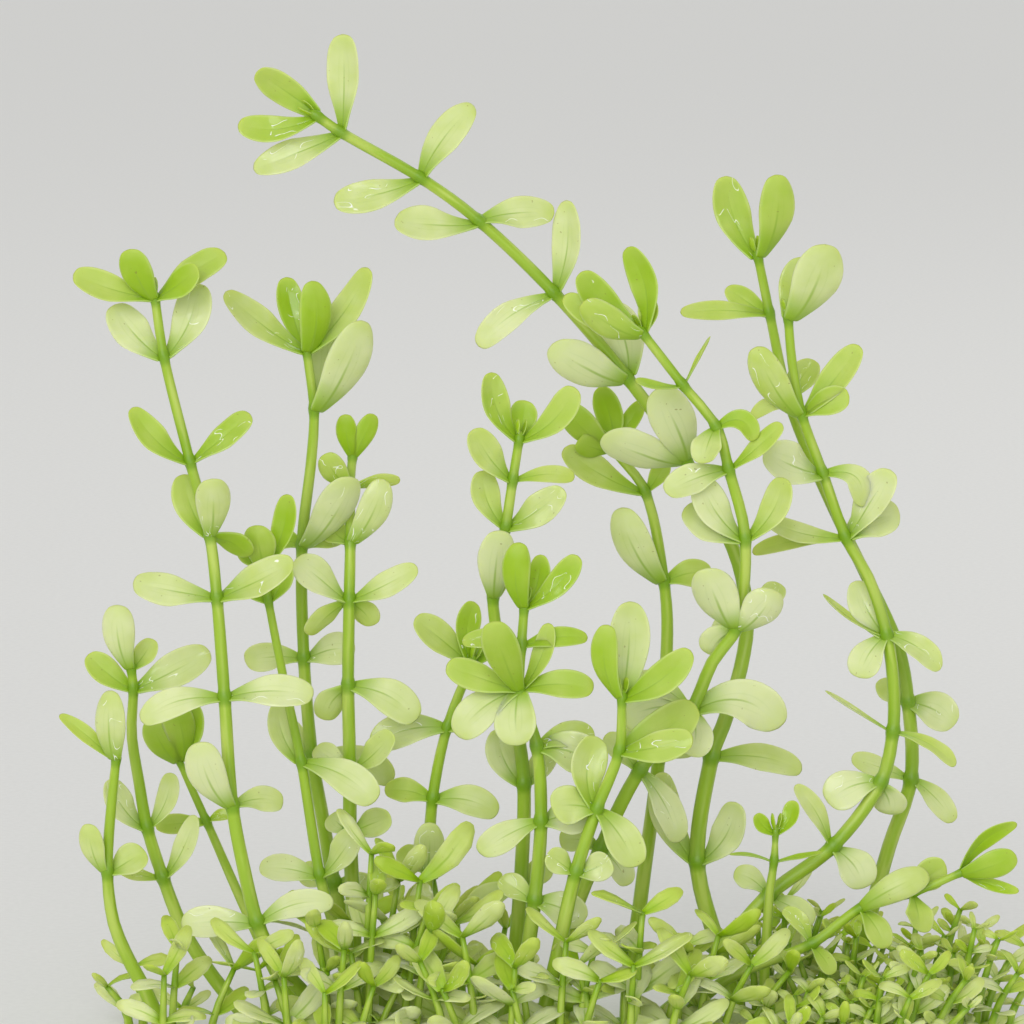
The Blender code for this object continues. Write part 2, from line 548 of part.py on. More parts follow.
def largest_leaves():
    """The largest leaves, each as its stem, joint number and entry."""
    every = []
    for name, joints in STEMS.items():
        every += [(name, k, entry) for k, j in enumerate(joints) for entry in j["leaves"]]
    every.sort(key=lambda found: -found[2]["reach"].length * found[2]["width"])
    return every[:OWN_LEAVES]


def material(name, colour, roughness):
    """A plain finish."""
    made = bpy.data.materials.new(name)
    made.use_nodes = True
    shader = made.node_tree.nodes["Principled BSDF"]
    shader.inputs["Base Color"].default_value = (*colour, 1)
    shader.inputs["Roughness"].default_value = roughness
    shader.inputs["Metallic"].default_value = 0
    return made


def add_piece(name, build, finish, *facts):
    """Makes one named object from a function that fills its mesh."""
    bm = bmesh.new()
    build(bm, *facts)
    bmesh.ops.recalc_face_normals(bm, faces=bm.faces)
    mesh = bpy.data.meshes.new(name)
    bm.to_mesh(mesh)
    bm.free()
    mesh.materials.append(finish)
    piece = bpy.data.objects.new(name, mesh)
    bpy.context.scene.collection.objects.link(piece)
    return piece


def main():
    """Builds every piece of the clump."""
    for old in list(bpy.data.objects):
        bpy.data.objects.remove(old, do_unlink=True)
    stem_finish = material("stem_green", STEM_GREEN, 0.35)
    leaf_finish = material("leaf_green", LEAF_GREEN, 0.32)
    mat_finish = material("mat_green", MAT_GREEN, 0.4)
    own = largest_leaves()
    for name, (joints, thickness, sides) in all_stems().items():
        owned = {(k, entry["reach"][:]) for stem, k, entry in own if stem == name}
        finish = mat_finish if name.startswith("short_shoot") else stem_finish
        add_piece(name, build_stem, finish, joints, thickness, sides, owned)
    counts = {}
    for name, k, entry in own:
        joints = STEMS[name]
        places = route(joints)
        radius = stem_radius(SLIMNESS.get(name, 1.0), k / (len(places) - 1))
        counts[name] = counts.get(name, 0) + 1
        leaf_name = name.replace("_stem", "") + f"_leaf_{counts[name]:02d}"
        add_piece(leaf_name, build_own_leaf, leaf_finish, entry, places[k], directions(places)[k], radius)
    for name, points in CREEPERS.items():
        add_piece(name, build_creeper, stem_finish, points)


main()
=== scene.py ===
# %% [markdown]
# # A clump of water hyssop
# Water hyssop creeps over wet ground. From its creeping stems rise leafy ones with fleshy, spoon-shaped
# leaves, two or more at each joint. The clump here was cut off flat at the ground. The solids of the frame
# say where every stem stands and how far every leaf reaches, but they are plain. So this script models the
# living surface over them: smooth stems, curved blades and the crowd of small shoots at the foot.
#
# First the frame is loaded. The finished plant has to stay close to it.

# %% Load the frame
import math
import random

import bpy
import numpy as np
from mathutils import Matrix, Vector


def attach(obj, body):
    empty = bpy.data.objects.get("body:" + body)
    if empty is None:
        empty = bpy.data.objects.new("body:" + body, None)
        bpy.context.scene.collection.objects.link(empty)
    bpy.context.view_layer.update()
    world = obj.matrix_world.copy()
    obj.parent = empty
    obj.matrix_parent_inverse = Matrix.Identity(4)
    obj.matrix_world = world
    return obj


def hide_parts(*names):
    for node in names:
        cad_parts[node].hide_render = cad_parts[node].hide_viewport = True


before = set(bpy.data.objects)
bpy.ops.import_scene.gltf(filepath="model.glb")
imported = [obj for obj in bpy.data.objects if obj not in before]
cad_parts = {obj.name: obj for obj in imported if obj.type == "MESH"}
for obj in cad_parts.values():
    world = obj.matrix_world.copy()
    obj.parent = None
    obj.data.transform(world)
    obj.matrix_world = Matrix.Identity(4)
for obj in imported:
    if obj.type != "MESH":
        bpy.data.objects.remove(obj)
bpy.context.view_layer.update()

MM = 0.001

# %% [markdown]
# ## Where the stems stand
# A plant has no drawing, so it was measured as a botanist would: seen from the front, a little from above,
# each joint got its place in millimetres and its distance behind the middle, and each leaf its reach and
# its width. The list could be random, but then no leaf would be where it grew. It is the one that the
# solids were made from.

# %% A leaf, a joint, and the way back from the front view to the real place
VIEW_TILT = math.radians(8.0)
VIEW_DISTANCE = 0.9
CENTRE_X = -0.85
CENTRE_Y = -3.4


def leaf(right, back, up, width, turn=0.7, bend=None):
    """A leaf: its reach from its joint, its width, how far its face turns to the front, and how it arches."""
    return {"reach": np.array((right, back, up), float), "width": width, "turn": turn, "bend": bend}


def joint(x, depth, height, *leaves, ages=()):
    """A place on a stem as seen in the front view, in millimetres, with the leaves that grow there."""
    return {"seen": (x, depth, height), "leaves": leaves, "ages": ages}


def stand(x, depth, height):
    """The place in metres of a point that the front view shows at x and height, so far behind the middle."""
    nearer = 1 + depth / VIEW_DISTANCE * MM
    z = (height * nearer - depth * math.sin(VIEW_TILT)) / math.cos(VIEW_TILT)
    return np.array((x * nearer - CENTRE_X, depth - CENTRE_Y, z)) * MM


print("the joint at x 0, height 100 mm, stands at", stand(0, 0, 100).round(4))

# %% [markdown]
# ### The table
# Each block is a stem, and each row one of its joints, from the foot to the tip: x, depth behind the
# middle, height. After each slash comes a leaf: its reach to the right, back and up, its width, and where
# they aren't the usual ones, its turn to the front and its bend. After a tilde stands how old each leaf
# looks, from 0 for fresh green to 1 for pale, where the rule further down would be wrong.

# %% The stems
STEM_TABLE = """
left_tall_stem
-28.5 -9 0
-33 -10.5 5.5
-39 -12 12.5
-41.5 -12 18 / -11 1.5 -0.5 5 / 11 -1 3 4.2 / 7.5 5 -2.5 1.8 0.2 ~ 0.9 0.9 0.8
-43 -12 24
-45 -12 35 / -4.3 -4 10 6 / 7.3 4 -0.3 4.2
-46 -11 50.5 / -12 -1.5 -3 4.8 / 12.7 -1 0.4 5.2 ~ 0.8 0.85
-47 -10 64.7 / -12 1 2 5.2 / 11 -2 5.6 5.5 ~ 0.75 0.6
-48 -9 73.6 / -3.7 3 8.3 5 / 0.6 -5 9 5.3 / 5.6 4 -3.5 4 ~ 0.4 0.7 0.1
-50.7 -8 84 / -7.8 -1 8 4.3 / 8.3 1 7 4.3 ~ 0.2 0.15
-54.3 -7 98.8 / -7.1 2 7.3 5.8 / 4.4 3 10.3 5.8 ~ 0.85 0.8
-55.5 -6 107 / -11.5 -1 3.6 4.6 / -3.2 -2 7.3 5 / 6.3 -2.5 4.6 4.6 / 9.8 1.5 6.6 5 ~ 0.35 0.05 0.05 0.3

second_tall_stem
-24.7 9 0
-28 9 12
-30.3 8.5 22 / 5.5 -2 -1 5 / -5 2 2 4
-32 8 32
-33.4 8 40.5 / 12 1.5 -4 5 / -5 3 5 4.5
-34.5 8 54.5 / 7.5 -2 1.8 5.2 / -8.8 2 -0.8 4.5
-34.7 8 70.7 / 7 -6.5 11.3 6.3 / -4.5 3 1 3.5 / 6 3 1 3.8 ~ 0.85 0.1 0.3
-33.3 8 83
-32.9 8 90 / 6.7 -4 13.7 6.8 / 1.5 5 13 6 ~ 0.8 0.7
-33.9 8 98.4 / -11.3 -1 8.9 4.8 / -3 3.5 10.3 4.2 / 0.6 -2.5 10.4 5.2 / 8.9 1 12 5 ~ 0.55 0 0.05 0.5

thin_side_stem
-27.5 -3 0
-30 -3 15
-32.4 -2.5 24 / -8.8 1 1 4.4 / 5 -2 7 5
-35 -2 40.4 / -3.2 1.5 8.5 4 / 10.7 -2.5 -5.4 5.5
-37 -2 50
-39.6 -2 63.6 / -3 2 4 4 / 2.5 2 5 3.5 ~ 0.1 0.1
-40.3 -2 68.5 / -1 -2 6.3 5 / 3.4 1 10.4 3.8 / -3 1.5 3 3.5 ~ 0.25 0.02 0.1

third_stem
-27.5 3 0
-27.5 3 15
-28 2.5 30 / 6 -2 2.5 4.5 / -3 2 2 4
-28 2 39 / -5 2 3 4 / 6 -3 6 4.5
-28.2 1.5 51.2 / 10 -1.5 -4.8 5.8 / -3.5 2 -5.5 4.5
-28 2 63.4 / -7.6 -1 6.2 5.4 / 9.8 -1 5 4.3 / 3.5 2 -4 4 / -6 2 -5.5 3.5 ~ 0.85 0.7 0.5 0.5
-27.8 5 71.4 / 4.8 -2 9.5 5 / -3.5 4 2 4 ~ 0.75 0.4
-27.8 9 79 / 7.3 2 0.6 2.4 / -3.6 -1 5 4.2 ~ 0.4 0.35
-27.4 12 83 / -1 -1 6.4 3.3 / 2.9 0.5 6.2 3.3 ~ 0.02 0.05

middle_stem
-6 2 0
-4.5 2 10
-3.5 1.5 22 / -7.5 1 -4.5 4.5 / 4 3 3 4
-3 1 37 / -3.6 1 7.8 5 / 4 3 5 4
-4.5 1 48
-6.5 1 57
-7.4 0.5 64 / 0.8 -3.5 10.2 5.6 / 1 3.5 8 5 ~ 0.9 0.7
-5.6 0 74 / -3.2 1.5 8 4.6 / 8.2 -1.5 5.8 5 ~ 0.55 0.6
-4.6 0 80.7 / -5.5 -1.5 7.6 4.8 / 9 2 0.2 2.8 ~ 0.5 0.45
-3.7 0 86.4 / -3.9 -1 9.9 4.6 / 7.8 -1 7.8 4.6 / 0.8 2.5 5.4 4.2 ~ 0.2 0.3 0.05

front_middle_stem
-4 -9 0
-2.5 -10 13.5
-1.5 -10 21 / 7 -1 -3 5.5 / -5 2 3 4
-0.6 -10 32.5 / -8.8 -1 -4.5 4.6 / 7 -1 1.5 7
-1.2 -10 43.3 / 9 1.5 -3 6.5 / 8.5 4 1 4.5
-3.7 -10 51.6 / 10.6 0 0 4.6 / -10.3 -1 3.7 4.6 / 4 1.5 9.3 3.2 / -3.8 -6.5 11 5.5 / -9 -1.5 -6.5 6
    / -0.3 -4 -7.5 6.5 ~ 0.25 0.3 0.3 0.2 0.75 0.7
-3.4 -9 57.8 / 9.5 1 1 3.3 / -8.6 1 0.5 3.2 ~ 0.1 0.2
-3 -8.5 63.2 / -0.6 -1.5 9.6 4.4 / 7.6 -0.5 7.6 4 / 2.2 2 7.3 3.8 ~ 0 0.1 0.02

left_middle_stem
-13.5 6 0
-15 6 8
-17.3 6 15
-16.8 5.5 24 / 0.2 -3.5 8 4.8 / -4 3 3 4
-16.1 5 34.5 / 9.5 -1 -2 5 / -7 1 1 4
-14 5 44.8 / -11 -1 -2.5 5.6 / 6 -2 4 5 ~ 0.8 0.6
-10.5 5 54 / -8.2 -1 6.8 5 / 0.5 0 9 4 / 4 2 5 4 ~ 0.5 0.1 0.1

long_arching_stem
28.5 6 0
27 6 6.5
25 6 13
22 6 25.3 / 5.4 -2 9.2 5.6 / -5 1.5 13 5.2
24 6 40.5 / 13.6 2 -2.2 4.6 / -3 2 6.5 5
26 6 46
28.3 7 54
29 8 61 / -4 2 -4.5 5 / 5 2 4 4
27 9 70
20 8 83 / -11.8 -4.5 4.6 6.5 / -4.3 -5.5 11 6.9 ~ 0.95 0.9
11.7 7 94.7 / -10.8 -3 5.3 7 / -2.8 2.5 10.3 6.8 ~ 0.95 0.95
1.3 6 106.8 / 1.2 1 13.2 5.1 / -11 -1.5 -7.5 4.5 ~ 0.8 0.85
-9.3 5 117 / -12 -2 0.6 5.6 / 10.9 2 1 5.2 ~ 0.75 0.7
-17.7 4 123.2 / 7.6 1 10.5 5.5 / -12.4 -1 -3.3 5.2 ~ 0.7 0.65
-29 3 129.7 / 0.4 0.5 14 5.3 / -12.5 -1 -4.9 4.9 ~ 0.7 0.75
-32.3 2.5 132 / -8.6 -1 6.2 4.8 / -11.3 -0.5 -1.2 4.4 ~ 0.3 0.25

second_arching_stem
0.5 -3 0
1.5 -3 9
4 -3 18
8 -3.5 28 / 4 -2 -5 4 / -6 1 1 4
13.6 -4 39.3 / 6 2 -11 5 / -5 1 5 4
21 -4 48.2 / -10 -1 -1.5 6.2 / 12.8 3 -3.5 7 0.7 0.25 / 0 -5 -6 5.5 / -9 2 4 4
24 -4 55
27.4 -4 60 / -4.4 -3.5 9.2 6.8 / 5 -3 6 6.2 / -4 2.5 -4.2 5.2
28.6 -4 72.6 / -6.3 -1 9 5.4 / 5.3 1 8.8 4.8 / -8.6 1.5 4.5 5.8 ~ 0.8 0.5 0.75
26.2 -4 82.6 / 7.3 -1 6.8 3.2 / -9 -1.5 -3.3 5 ~ 0.25 0.75
24.4 -4 88.6 / 5.3 -0.5 -2 3.5 0.7 0.35 / -2 -3 -4.8 4.8 ~ 0.1 0.6
19.6 -4 94.6 / 3.8 0.5 7 1.8 0.15 / -6.7 -0.5 1 2.6 0.3
13.9 -4 101.9 / -2.6 0.5 12 4.8 / -8.8 1.5 8.7 5 / -8.4 -2 5 5.2 / 0.6 1 5 3.2 / -11 1 5.5 4
    ~ 0.05 0.1 0.3 0.2 0.3

inner_right_stem
12 14 0
14 14 20
16.5 14 40 / -6 1 3 4.5 / 6 1 3 4.5
17.6 14.5 57
17.1 15 65 / -6.3 -3 11.3 6.2 / 7 1 1 4.6 ~ 0.8 0.4
14.4 15 77.8 / -11.9 -1 6.6 4.8 / 3 1 4.5 3 ~ 0.45 0.2
9.6 15 84 / -2 1 8.8 5 / -6.8 -1.5 6.8 5 / -5 -2 1.5 4.4 / 4.5 1.5 6.8 3 ~ 0.05 0.15 0.1 0.05

front_right_stem
-1 -15 0
2 -15 14.5
4.4 -14.5 25.5 / 5 -1 2 4.5 / -4 -1 3 4
7.4 -14 34.6 / 0.3 1.5 10 5.6 / 5.6 -2 -8 5.6 / -6.5 -1 0.5 6
10.6 -14 43 / 11 4.5 6 6.5 / 10.2 -3.5 2.6 5 ~ 0.3 0.35
11 -14 50.6 / -1.9 -1 10.8 4.2 / 1.2 2.5 13.2 6.2 / 9.5 -2 7.2 5 ~ 0.1 0.75 0.2

back_right_stem
43 14 0
46.5 14 15
49.7 14 27
52.7 14 36.6 / 6.3 -1 -6.3 3.8 / -8.7 1 3 3.4
52.2 14 47.7 / 6.8 -0.5 -3.5 6 / -4 3 3 4
50.6 13 56
46 13 66
41.5 13 75
37 13 85
34.6 13 91.5 / -4 3 5 4.5 / 4 3 5 4.5
32 13 103.3 / -6 1.5 3.9 4 / -13 -1 0.3 3.2 ~ 0.3 0.4
30.3 13 111.3 / -4.6 1.5 11.6 5.6 / 2.2 -2.5 12.2 5.6 ~ 0.3 0.3

tall_right_stem
15 0 0
21 0.5 7
26 1 13.5
32.3 2 20.8 / 6.5 -1 -4 4.2 / -5 2 3 4
41.5 3 27.8 / -5.6 -1 9.2 3.2 / 4.5 -2 -5.8 6
48.3 4 37 / -7.8 -1.5 -2.7 6 / 1.6 2 -5.2 5.2
50 4 44.3 / -9.9 0.5 5.9 1.8 0.2 / 9.2 -1 -4.8 3 0.4
50 4 51
49 4 58.2 / -9 1 6 2.4 0.25 / -4.3 2 7.6 5.2 / 7.7 -1 -5 4.2 / -4 -2 -6 5.2
46.5 4 66
43 4 72.2 / -11.8 1 2.6 3.4 / -13.5 3.5 -2.6 2.8 / 6 -2 10 5.4 / 8 2 3 6.2
39.7 4 81.3 / -8.5 -2.5 3.7 7 / 5.7 -1 -5 4.2 0.7 0.4
36.6 4 89.7 / 8.2 0.5 10 4.8 / 6.7 -1.5 2.8 4.4 / -6.6 -2.5 10.2 5.2 / -7.2 1 -0.8 2.4 0.7 0.3
    ~ 0.35 0.2 0.5 0.5
35.2 4 97
34.6 4 103.3 / 5 -4 11.2 7.6 / 2 4.5 8.5 6 ~ 0.7 0.5

low_left_stem
-55 -5 0
-57 -6 6
-60.5 -6 13
-62.3 -6 18
-63 -6 24.8 / -2.3 -1 7.3 4 / 5.3 1 3 5
-62.5 -6 33
-61.6 -6 41.2 / -0.3 -2 10.3 5 / -7.9 1 6.5 2.6 ~ 0.7 0.3

left_branching_stem
-41 2 0
-44 2.5 4
-48 3 9
-52 3 15.5
-55 3 23.3 / 4.3 -1 9.3 3.8 / -7.3 -1 2.5 2.4
-57.2 3 30.5 / -5.2 -1 7.4 4.6 / 3.3 1 7.9 3.6
-58.3 3 37
-59.3 3 44
-59 3 50.5 / 11 0.5 5.5 5.6 / -6.5 1 5 4.4 ~ 0.75 0.3
-59.3 3 53.5 / -1.6 -1 9.4 5.2 / 3 2 4 3.5 ~ 0.85 0.5

short_left_stem
-35 10 0
-39 10.5 9
-44 11 20
-48.6 11 30.7 / -7.6 0.5 -0.5 3.4 / 4 -1 1.2 2
-52.5 11 39.5 / -3.8 -1 6.5 5 / -1.5 -1.5 9 5.2 / 1.7 1 8.5 4.6

right_creeping_stem
16 -9 0
21 -9 5
27 -9 9.9
38.4 -9 14.6 / -4 1 5 3 / 3 -2 -4 3
45.6 -9 19.9 / 9.5 -1 5.2 4.6 / 3.5 -2 -5.5 4
52.9 -9 22 / 1 -3 -5 5 / 5 1.5 3.5 5
60 -9 25 / 8 0.5 6.8 3 / 7.5 -1 2.8 4.4 / 8.3 0 -2.6 2

small_sprout
31.5 -2 0
32.3 -2 20.5
33 -2 26 / -6.5 -1 1.5 1.6 0.2 / 7 1 1.2 1.6 0.2
33.2 -2 30 / -2.8 -0.5 3 2.6 / 2.5 0.5 4.8 2.8
"""


def read_joint(row):
    """The joint that one row of the table describes."""
    row, _, ages = row.partition("~")
    place, *leaves = [[float(number) for number in part.split()] for part in row.split("/")]
    return joint(*place, *[leaf(*found) for found in leaves], ages=[float(age) for age in ages.split()])


STEMS = {}
for block in STEM_TABLE.strip().split("\n\n"):
    stem_name, *rows = block.replace("\n    ", " ").split("\n")
    STEMS[stem_name] = [read_joint(row) for row in rows]
leaves_listed = sum(len(j["leaves"]) for joints in STEMS.values() for j in joints)
print(len(STEMS), "stems with", leaves_listed, "leaves")

# %% [markdown]
# ## Where the mat grows
# Between the stems the ground is covered by young shoots, far too many to list one by one. The list says
# where each group of them stands. Old stems lie on the ground among them and tie the clump together.

# %% The short shoots and the creeping stems
# Stems thinner or thicker than the others, as a share of the usual thickness.
SLIMNESS = {"thin_side_stem": 0.8, "small_sprout": 0.7, "right_creeping_stem": 0.85, "short_left_stem": 0.8,
            "long_arching_stem": 1.1}

# The short shoots of the mat: where each stands, how tall it is, how far it leans to the right, its leaf
# length and which way its first pair of leaves points, in degrees.
SHORT_SHOOTS = [
    ((-58, 8), 9, -1, 6, 0),
    ((-54, -16), 17, 1, 7, 30),
    ((-40, -19), 17, -2, 8, 70),
    ((-20, -13), 26, 2, 8, 15),
    ((-10, -22), 20, -2, 8, 60),
    ((13, -20), 23, 1, 8, 0),
    ((22, -17), 19, 3, 8, 45),
    ((36, -18), 11, 2, 6, 10),
    ((51, -19), 16, 3, 6, 60),
    ((60, -4), 17, 2, 6, 20),
    ((44, 4), 14, 1, 5, 80),
    ((57, 13), 16, 3, 6, 40),
    ((-14, 15), 20, -2, 8, 0),
    ((34, 12), 18, 1, 7, 45),
    ((-26, -13), 30, 1, 8, 45),
    ((-30, -21), 18, 1, 7, 15),
    ((2, -21), 19, 1, 7, 45),
    ((30, -19), 9, 2, 5, 75),
    ((44, -17), 13, 2, 5, 30),
    ((52, 3), 13, 1, 4, 30),
]

# Points on the ground that each creeping stem passes, from the left to the right.
CREEPERS = {
    "left_creeping_stem": [(-66, 0), (-58, -1.5), (-48, -3), (-38, -3.5), (-31, -5)],
    "middle_creeping_stem": [(-24, 1), (-18, 0), (-10, -3), (-4, -5.6), (4, -7.5), (11, -8)],
    "back_creeping_stem": [(-20, 12), (-8, 10), (4, 9), (14, 8), (24, 10), (34, 8), (48, 9), (62, 4)],
}

print(len(SHORT_SHOOTS), "groups of short shoots and", len(CREEPERS), "creeping stems")

# %% [markdown]
# ## A smooth way through the joints
# A soft stem has no corners, so the runs between its joints have to become one curve. A Bezier curve object
# could do it, but the leaves need its direction at every joint. So it is worked out here: it passes through
# each joint, and there it runs along the line between its neighbours.

# %% Vectors, and the curve through a stem's joints
FOOT_DIAMETER = 2.3
TOP_DIAMETER = 1.3
STEPS_PER_SPAN = 12


def unit(vector):
    """The vector, or each row of vectors, made one long."""
    return vector / np.linalg.norm(vector, axis=-1, keepdims=True)


def route(joints):
    """A stem's joints in metres. The foot is on the ground, and no joint is lower than a stem's thickness."""
    places = np.array([stand(*j["seen"]) for j in joints])
    places[0, 2] = 0
    places[1:, 2] = np.maximum(places[1:, 2], FOOT_DIAMETER * MM)
    return places


def directions(places):
    """The way the stem runs at each place: along the line between its neighbours."""
    ends = np.vstack([places[:1], places, places[-1:]])
    return unit(ends[2:] - ends[:-2])


def smooth_path(places, runs):
    """Points along the curve through the places, and how far along it each place is."""
    points, marks = [places[0]], [0.0]
    t = np.linspace(0, 1, STEPS_PER_SPAN + 1)[1:, None]
    for a, b, leaving, arriving in zip(places[:-1], places[1:], runs[:-1], runs[1:]):
        span = np.linalg.norm(b - a)
        curve = (a * (2 * t ** 3 - 3 * t ** 2 + 1) + leaving * span * (t ** 3 - 2 * t ** 2 + t)
                 + b * (3 * t ** 2 - 2 * t ** 3) + arriving * span * (t ** 3 - t ** 2))
        steps = np.diff(np.vstack([points[-1], curve]), axis=0)
        marks.append(marks[-1] + np.linalg.norm(steps, axis=1).sum())
        points.extend(curve)
    return np.array(points), np.array(marks)


def course(joints):
    """A stem's joints, its way at each, the points of its curve, and how far along each joint is."""
    places = route(joints)
    runs = directions(places)
    runs[0] = (0, 0, 1)
    return places, runs, *smooth_path(places, runs)


def frames_along(points):
    """For each point of a path: how far along it lies, the way it runs, and two directions square to that."""
    gaps = np.linalg.norm(np.diff(points, axis=0), axis=1)
    far = np.concatenate([[0], np.cumsum(gaps)])
    run = unit(np.gradient(points, far, axis=0))
    front = np.zeros_like(run)
    carried = np.array((0.0, -1.0, 0.0))
    for k, way in enumerate(run):
        carried = unit(carried - way * carried.dot(way))
        front[k] = carried
    return far, run, front, np.cross(run, front)


print("the long arching stem is", round(course(STEMS["long_arching_stem"])[3][-1] / MM), "mm long")

# %% [markdown]
# ## Modelling by hand, and laying the result along a curve
# The next cells model with the operators that the menus of the modelling window call. They act on what is
# selected, so each piece starts with nothing selected. A stem or a blade is easiest to model straight and
# flat, with its own coordinates as a ruler. Small functions then read its vertices as one array and write
# them back where they belong. The ruler's values stay in an attribute, because the colours follow them: a
# vein stays in the middle of its leaf however the leaf turns.

# %% Small helpers for meshes
def edit():
    """Opens edit mode with everything selected."""
    bpy.ops.object.mode_set(mode="EDIT")
    bpy.ops.mesh.select_all(action="SELECT")


def done():
    """Goes back to object mode."""
    bpy.ops.object.mode_set(mode="OBJECT")


def select(piece):
    """Selects one piece and nothing else, so that the next operator touches only that."""
    bpy.ops.object.select_all(action="DESELECT")
    if piece:
        piece.select_set(True)
        bpy.context.view_layer.objects.active = piece


def vertices_of(piece):
    """The piece's vertices as an array with a row for each."""
    found = np.empty(len(piece.data.vertices) * 3, np.float32)
    piece.data.vertices.foreach_get("co", found)
    return found.reshape(-1, 3).astype(float)


def move_vertices(piece, places):
    """Puts every vertex of the piece at its new place."""
    piece.data.vertices.foreach_set("co", np.asarray(places, np.float32).ravel())
    piece.data.update()


def note(piece, name, values):
    """Writes a value, or a vector, for every vertex into an attribute that the materials read."""
    values = np.asarray(values, np.float32)
    kind, field = ("FLOAT", "value") if values.ndim == 1 else ("FLOAT_VECTOR", "vector")
    made = piece.data.attributes.get(name) or piece.data.attributes.new(name, kind, "POINT")
    made.data.foreach_set(field, values.ravel())


def pick(piece, chosen):
    """Selects, in edit mode, the vertices for which chosen(x, y, z) is true."""
    done()
    places = vertices_of(piece)
    piece.data.polygons.foreach_set("select", [False] * len(piece.data.polygons))
    piece.data.edges.foreach_set("select", [False] * len(piece.data.edges))
    piece.data.vertices.foreach_set("select", [bool(chosen(*p)) for p in places])
    bpy.ops.object.mode_set(mode="EDIT")
    bpy.ops.mesh.select_mode(type="VERT")


def face_outwards():
    """Turns every face of the piece in edit mode to the outside, and ends edit mode."""
    bpy.ops.mesh.select_all(action="SELECT")
    bpy.ops.mesh.normals_make_consistent(inside=False)
    done()


def resize(factors, centre=(0, 0, 0)):
    """Makes what is selected larger or smaller as seen from the centre."""
    bpy.ops.transform.resize(value=factors, center_override=centre)


def copy_of(pattern, name):
    """A copy of a piece with a mesh of its own."""
    made = pattern.copy()
    made.data = pattern.data.copy()
    made.name = name
    bpy.context.collection.objects.link(made)
    return made


def join(pieces, name):
    """Joins pieces into one object."""
    select(pieces[0])
    for piece in pieces:
        piece.select_set(True)
    bpy.ops.object.join()
    joined = bpy.context.object
    joined.name = joined.data.name = name
    return joined


print("helpers ready")

# %% [markdown]
# ## The pattern blade
# A leaf of water hyssop is shaped like a spoon: narrow and thick where it joins the stem, widest at two
# thirds of its length, with a round tip. It is fleshy, half a millimetre thick, with a shallow channel
# along the midrib and edges that turn up a little. A strip is extruded row by row, and each row resized to
# the outline. The channel is pressed in and the rim lifted, Solidify gives the flesh, and a Subdivision
# Surface rounds it all. Every leaf of the tall stems is a copy of this one, bent its own way.

# %% The outline of a blade
BLADE_LENGTH = 12 * MM
HAIR = 0.01 * BLADE_LENGTH
BLADE_WIDTH = 5 * MM
FOOT_SHARE = 0.36
WIDEST_AT = 0.62
SOFT_START = 0.3
ROUNDNESS = 2.2
LAST_ROW = 0.93


def outline(t):
    """A blade's width at this share of its length, as a share of its greatest width."""
    if t < WIDEST_AT:
        rise = t / WIDEST_AT
        soft, quick = 3 * rise ** 2 - 2 * rise ** 3, math.sin(rise * math.pi / 2)
        eased = SOFT_START * soft + (1 - SOFT_START) * quick
        return FOOT_SHARE + (1 - FOOT_SHARE) * eased
    fall = (t - WIDEST_AT) / (1 - WIDEST_AT)
    return (1 - fall ** ROUNDNESS) ** (1 / ROUNDNESS)


print("widths along a blade:", [round(outline(k / 8), 2) for k in range(9)])

# %% [markdown]
# ### The blade itself
# The blade lies along +Y with its upper side to +Z. Its last two rows are pushed forward in the middle,
# since they are straight and a tip is round. The short shoots of the mat get a plainer pattern, because
# there are hundreds of their leaves.

# %% The pattern blade, extruded from a strip
CHANNEL_DEPTH = 0.16 * MM
CHANNEL_SHARE = 0.45
CHANNEL_ENDS = 0.8
RIM_LIFT = 0.1 * MM
RIM_THICKNESS = 0.22 * MM
RIM = 0.95
FLAT_ENDS = 0.1


def half_width(y):
    """Half the flat blade's width at this distance from its foot."""
    return outline(min(max(y / BLADE_LENGTH, 0), LAST_ROW)) * BLADE_WIDTH / 2


def note_blade(blade):
    """Keeps each vertex's place in the flat blade: from -1 to 1 across it, and from 0 to 1 along it."""
    notes = [(x / half_width(y), y / BLADE_LENGTH, 0) for x, y, z in vertices_of(blade)]
    note(blade, "blade", notes)


def pattern_blade(name, columns, stations, flesh, smooth):
    """A flat blade along +Y with its upper side to +Z, extruded row by row, then thickened and rounded."""
    select(None)
    bpy.ops.mesh.primitive_grid_add(x_subdivisions=columns, y_subdivisions=1, size=1)
    blade = bpy.context.object
    blade.name = name
    edit()
    bpy.ops.transform.translate(value=(0, 0.5, 0))
    first = (BLADE_WIDTH * outline(0), BLADE_LENGTH * stations[1], 1)
    resize(first)
    pick(blade, lambda x, y, z: y > first[1] / 2)
    resize((outline(stations[1]) / outline(0), 1, 1))
    for below, above in zip(stations[1:], stations[2:]):
        step = {"value": (0, (above - below) * BLADE_LENGTH, 0)}
        bpy.ops.mesh.extrude_region_move(TRANSFORM_OT_translate=step)
        resize((outline(above) / outline(below), 1, 1))
    done()
    round_tip(blade, columns, stations)
    note_blade(blade)
    press_channel(blade, columns)
    thicken(blade, flesh, smooth)
    print(name, "has", len(blade.data.polygons), "faces")
    return blade


def round_tip(blade, columns, stations):
    """Pushes the middle of the last two rows forward, so that the tip is round."""
    for row, bulge in ((stations[-1], 1 - stations[-1]), (stations[-2], (1 - stations[-1]) / 3)):
        for column in range(columns // 2):
            share = 2 * column / columns
            place, edge = row * BLADE_LENGTH, half_width(row * BLADE_LENGTH)
            near = 0.2 / columns
            pick(blade, lambda x, y, z: abs(y - place) < HAIR and abs(abs(x) / edge - share) < near)
            bpy.ops.transform.translate(value=(0, bulge * BLADE_LENGTH * math.sqrt(1 - share ** 2), 0))
    done()


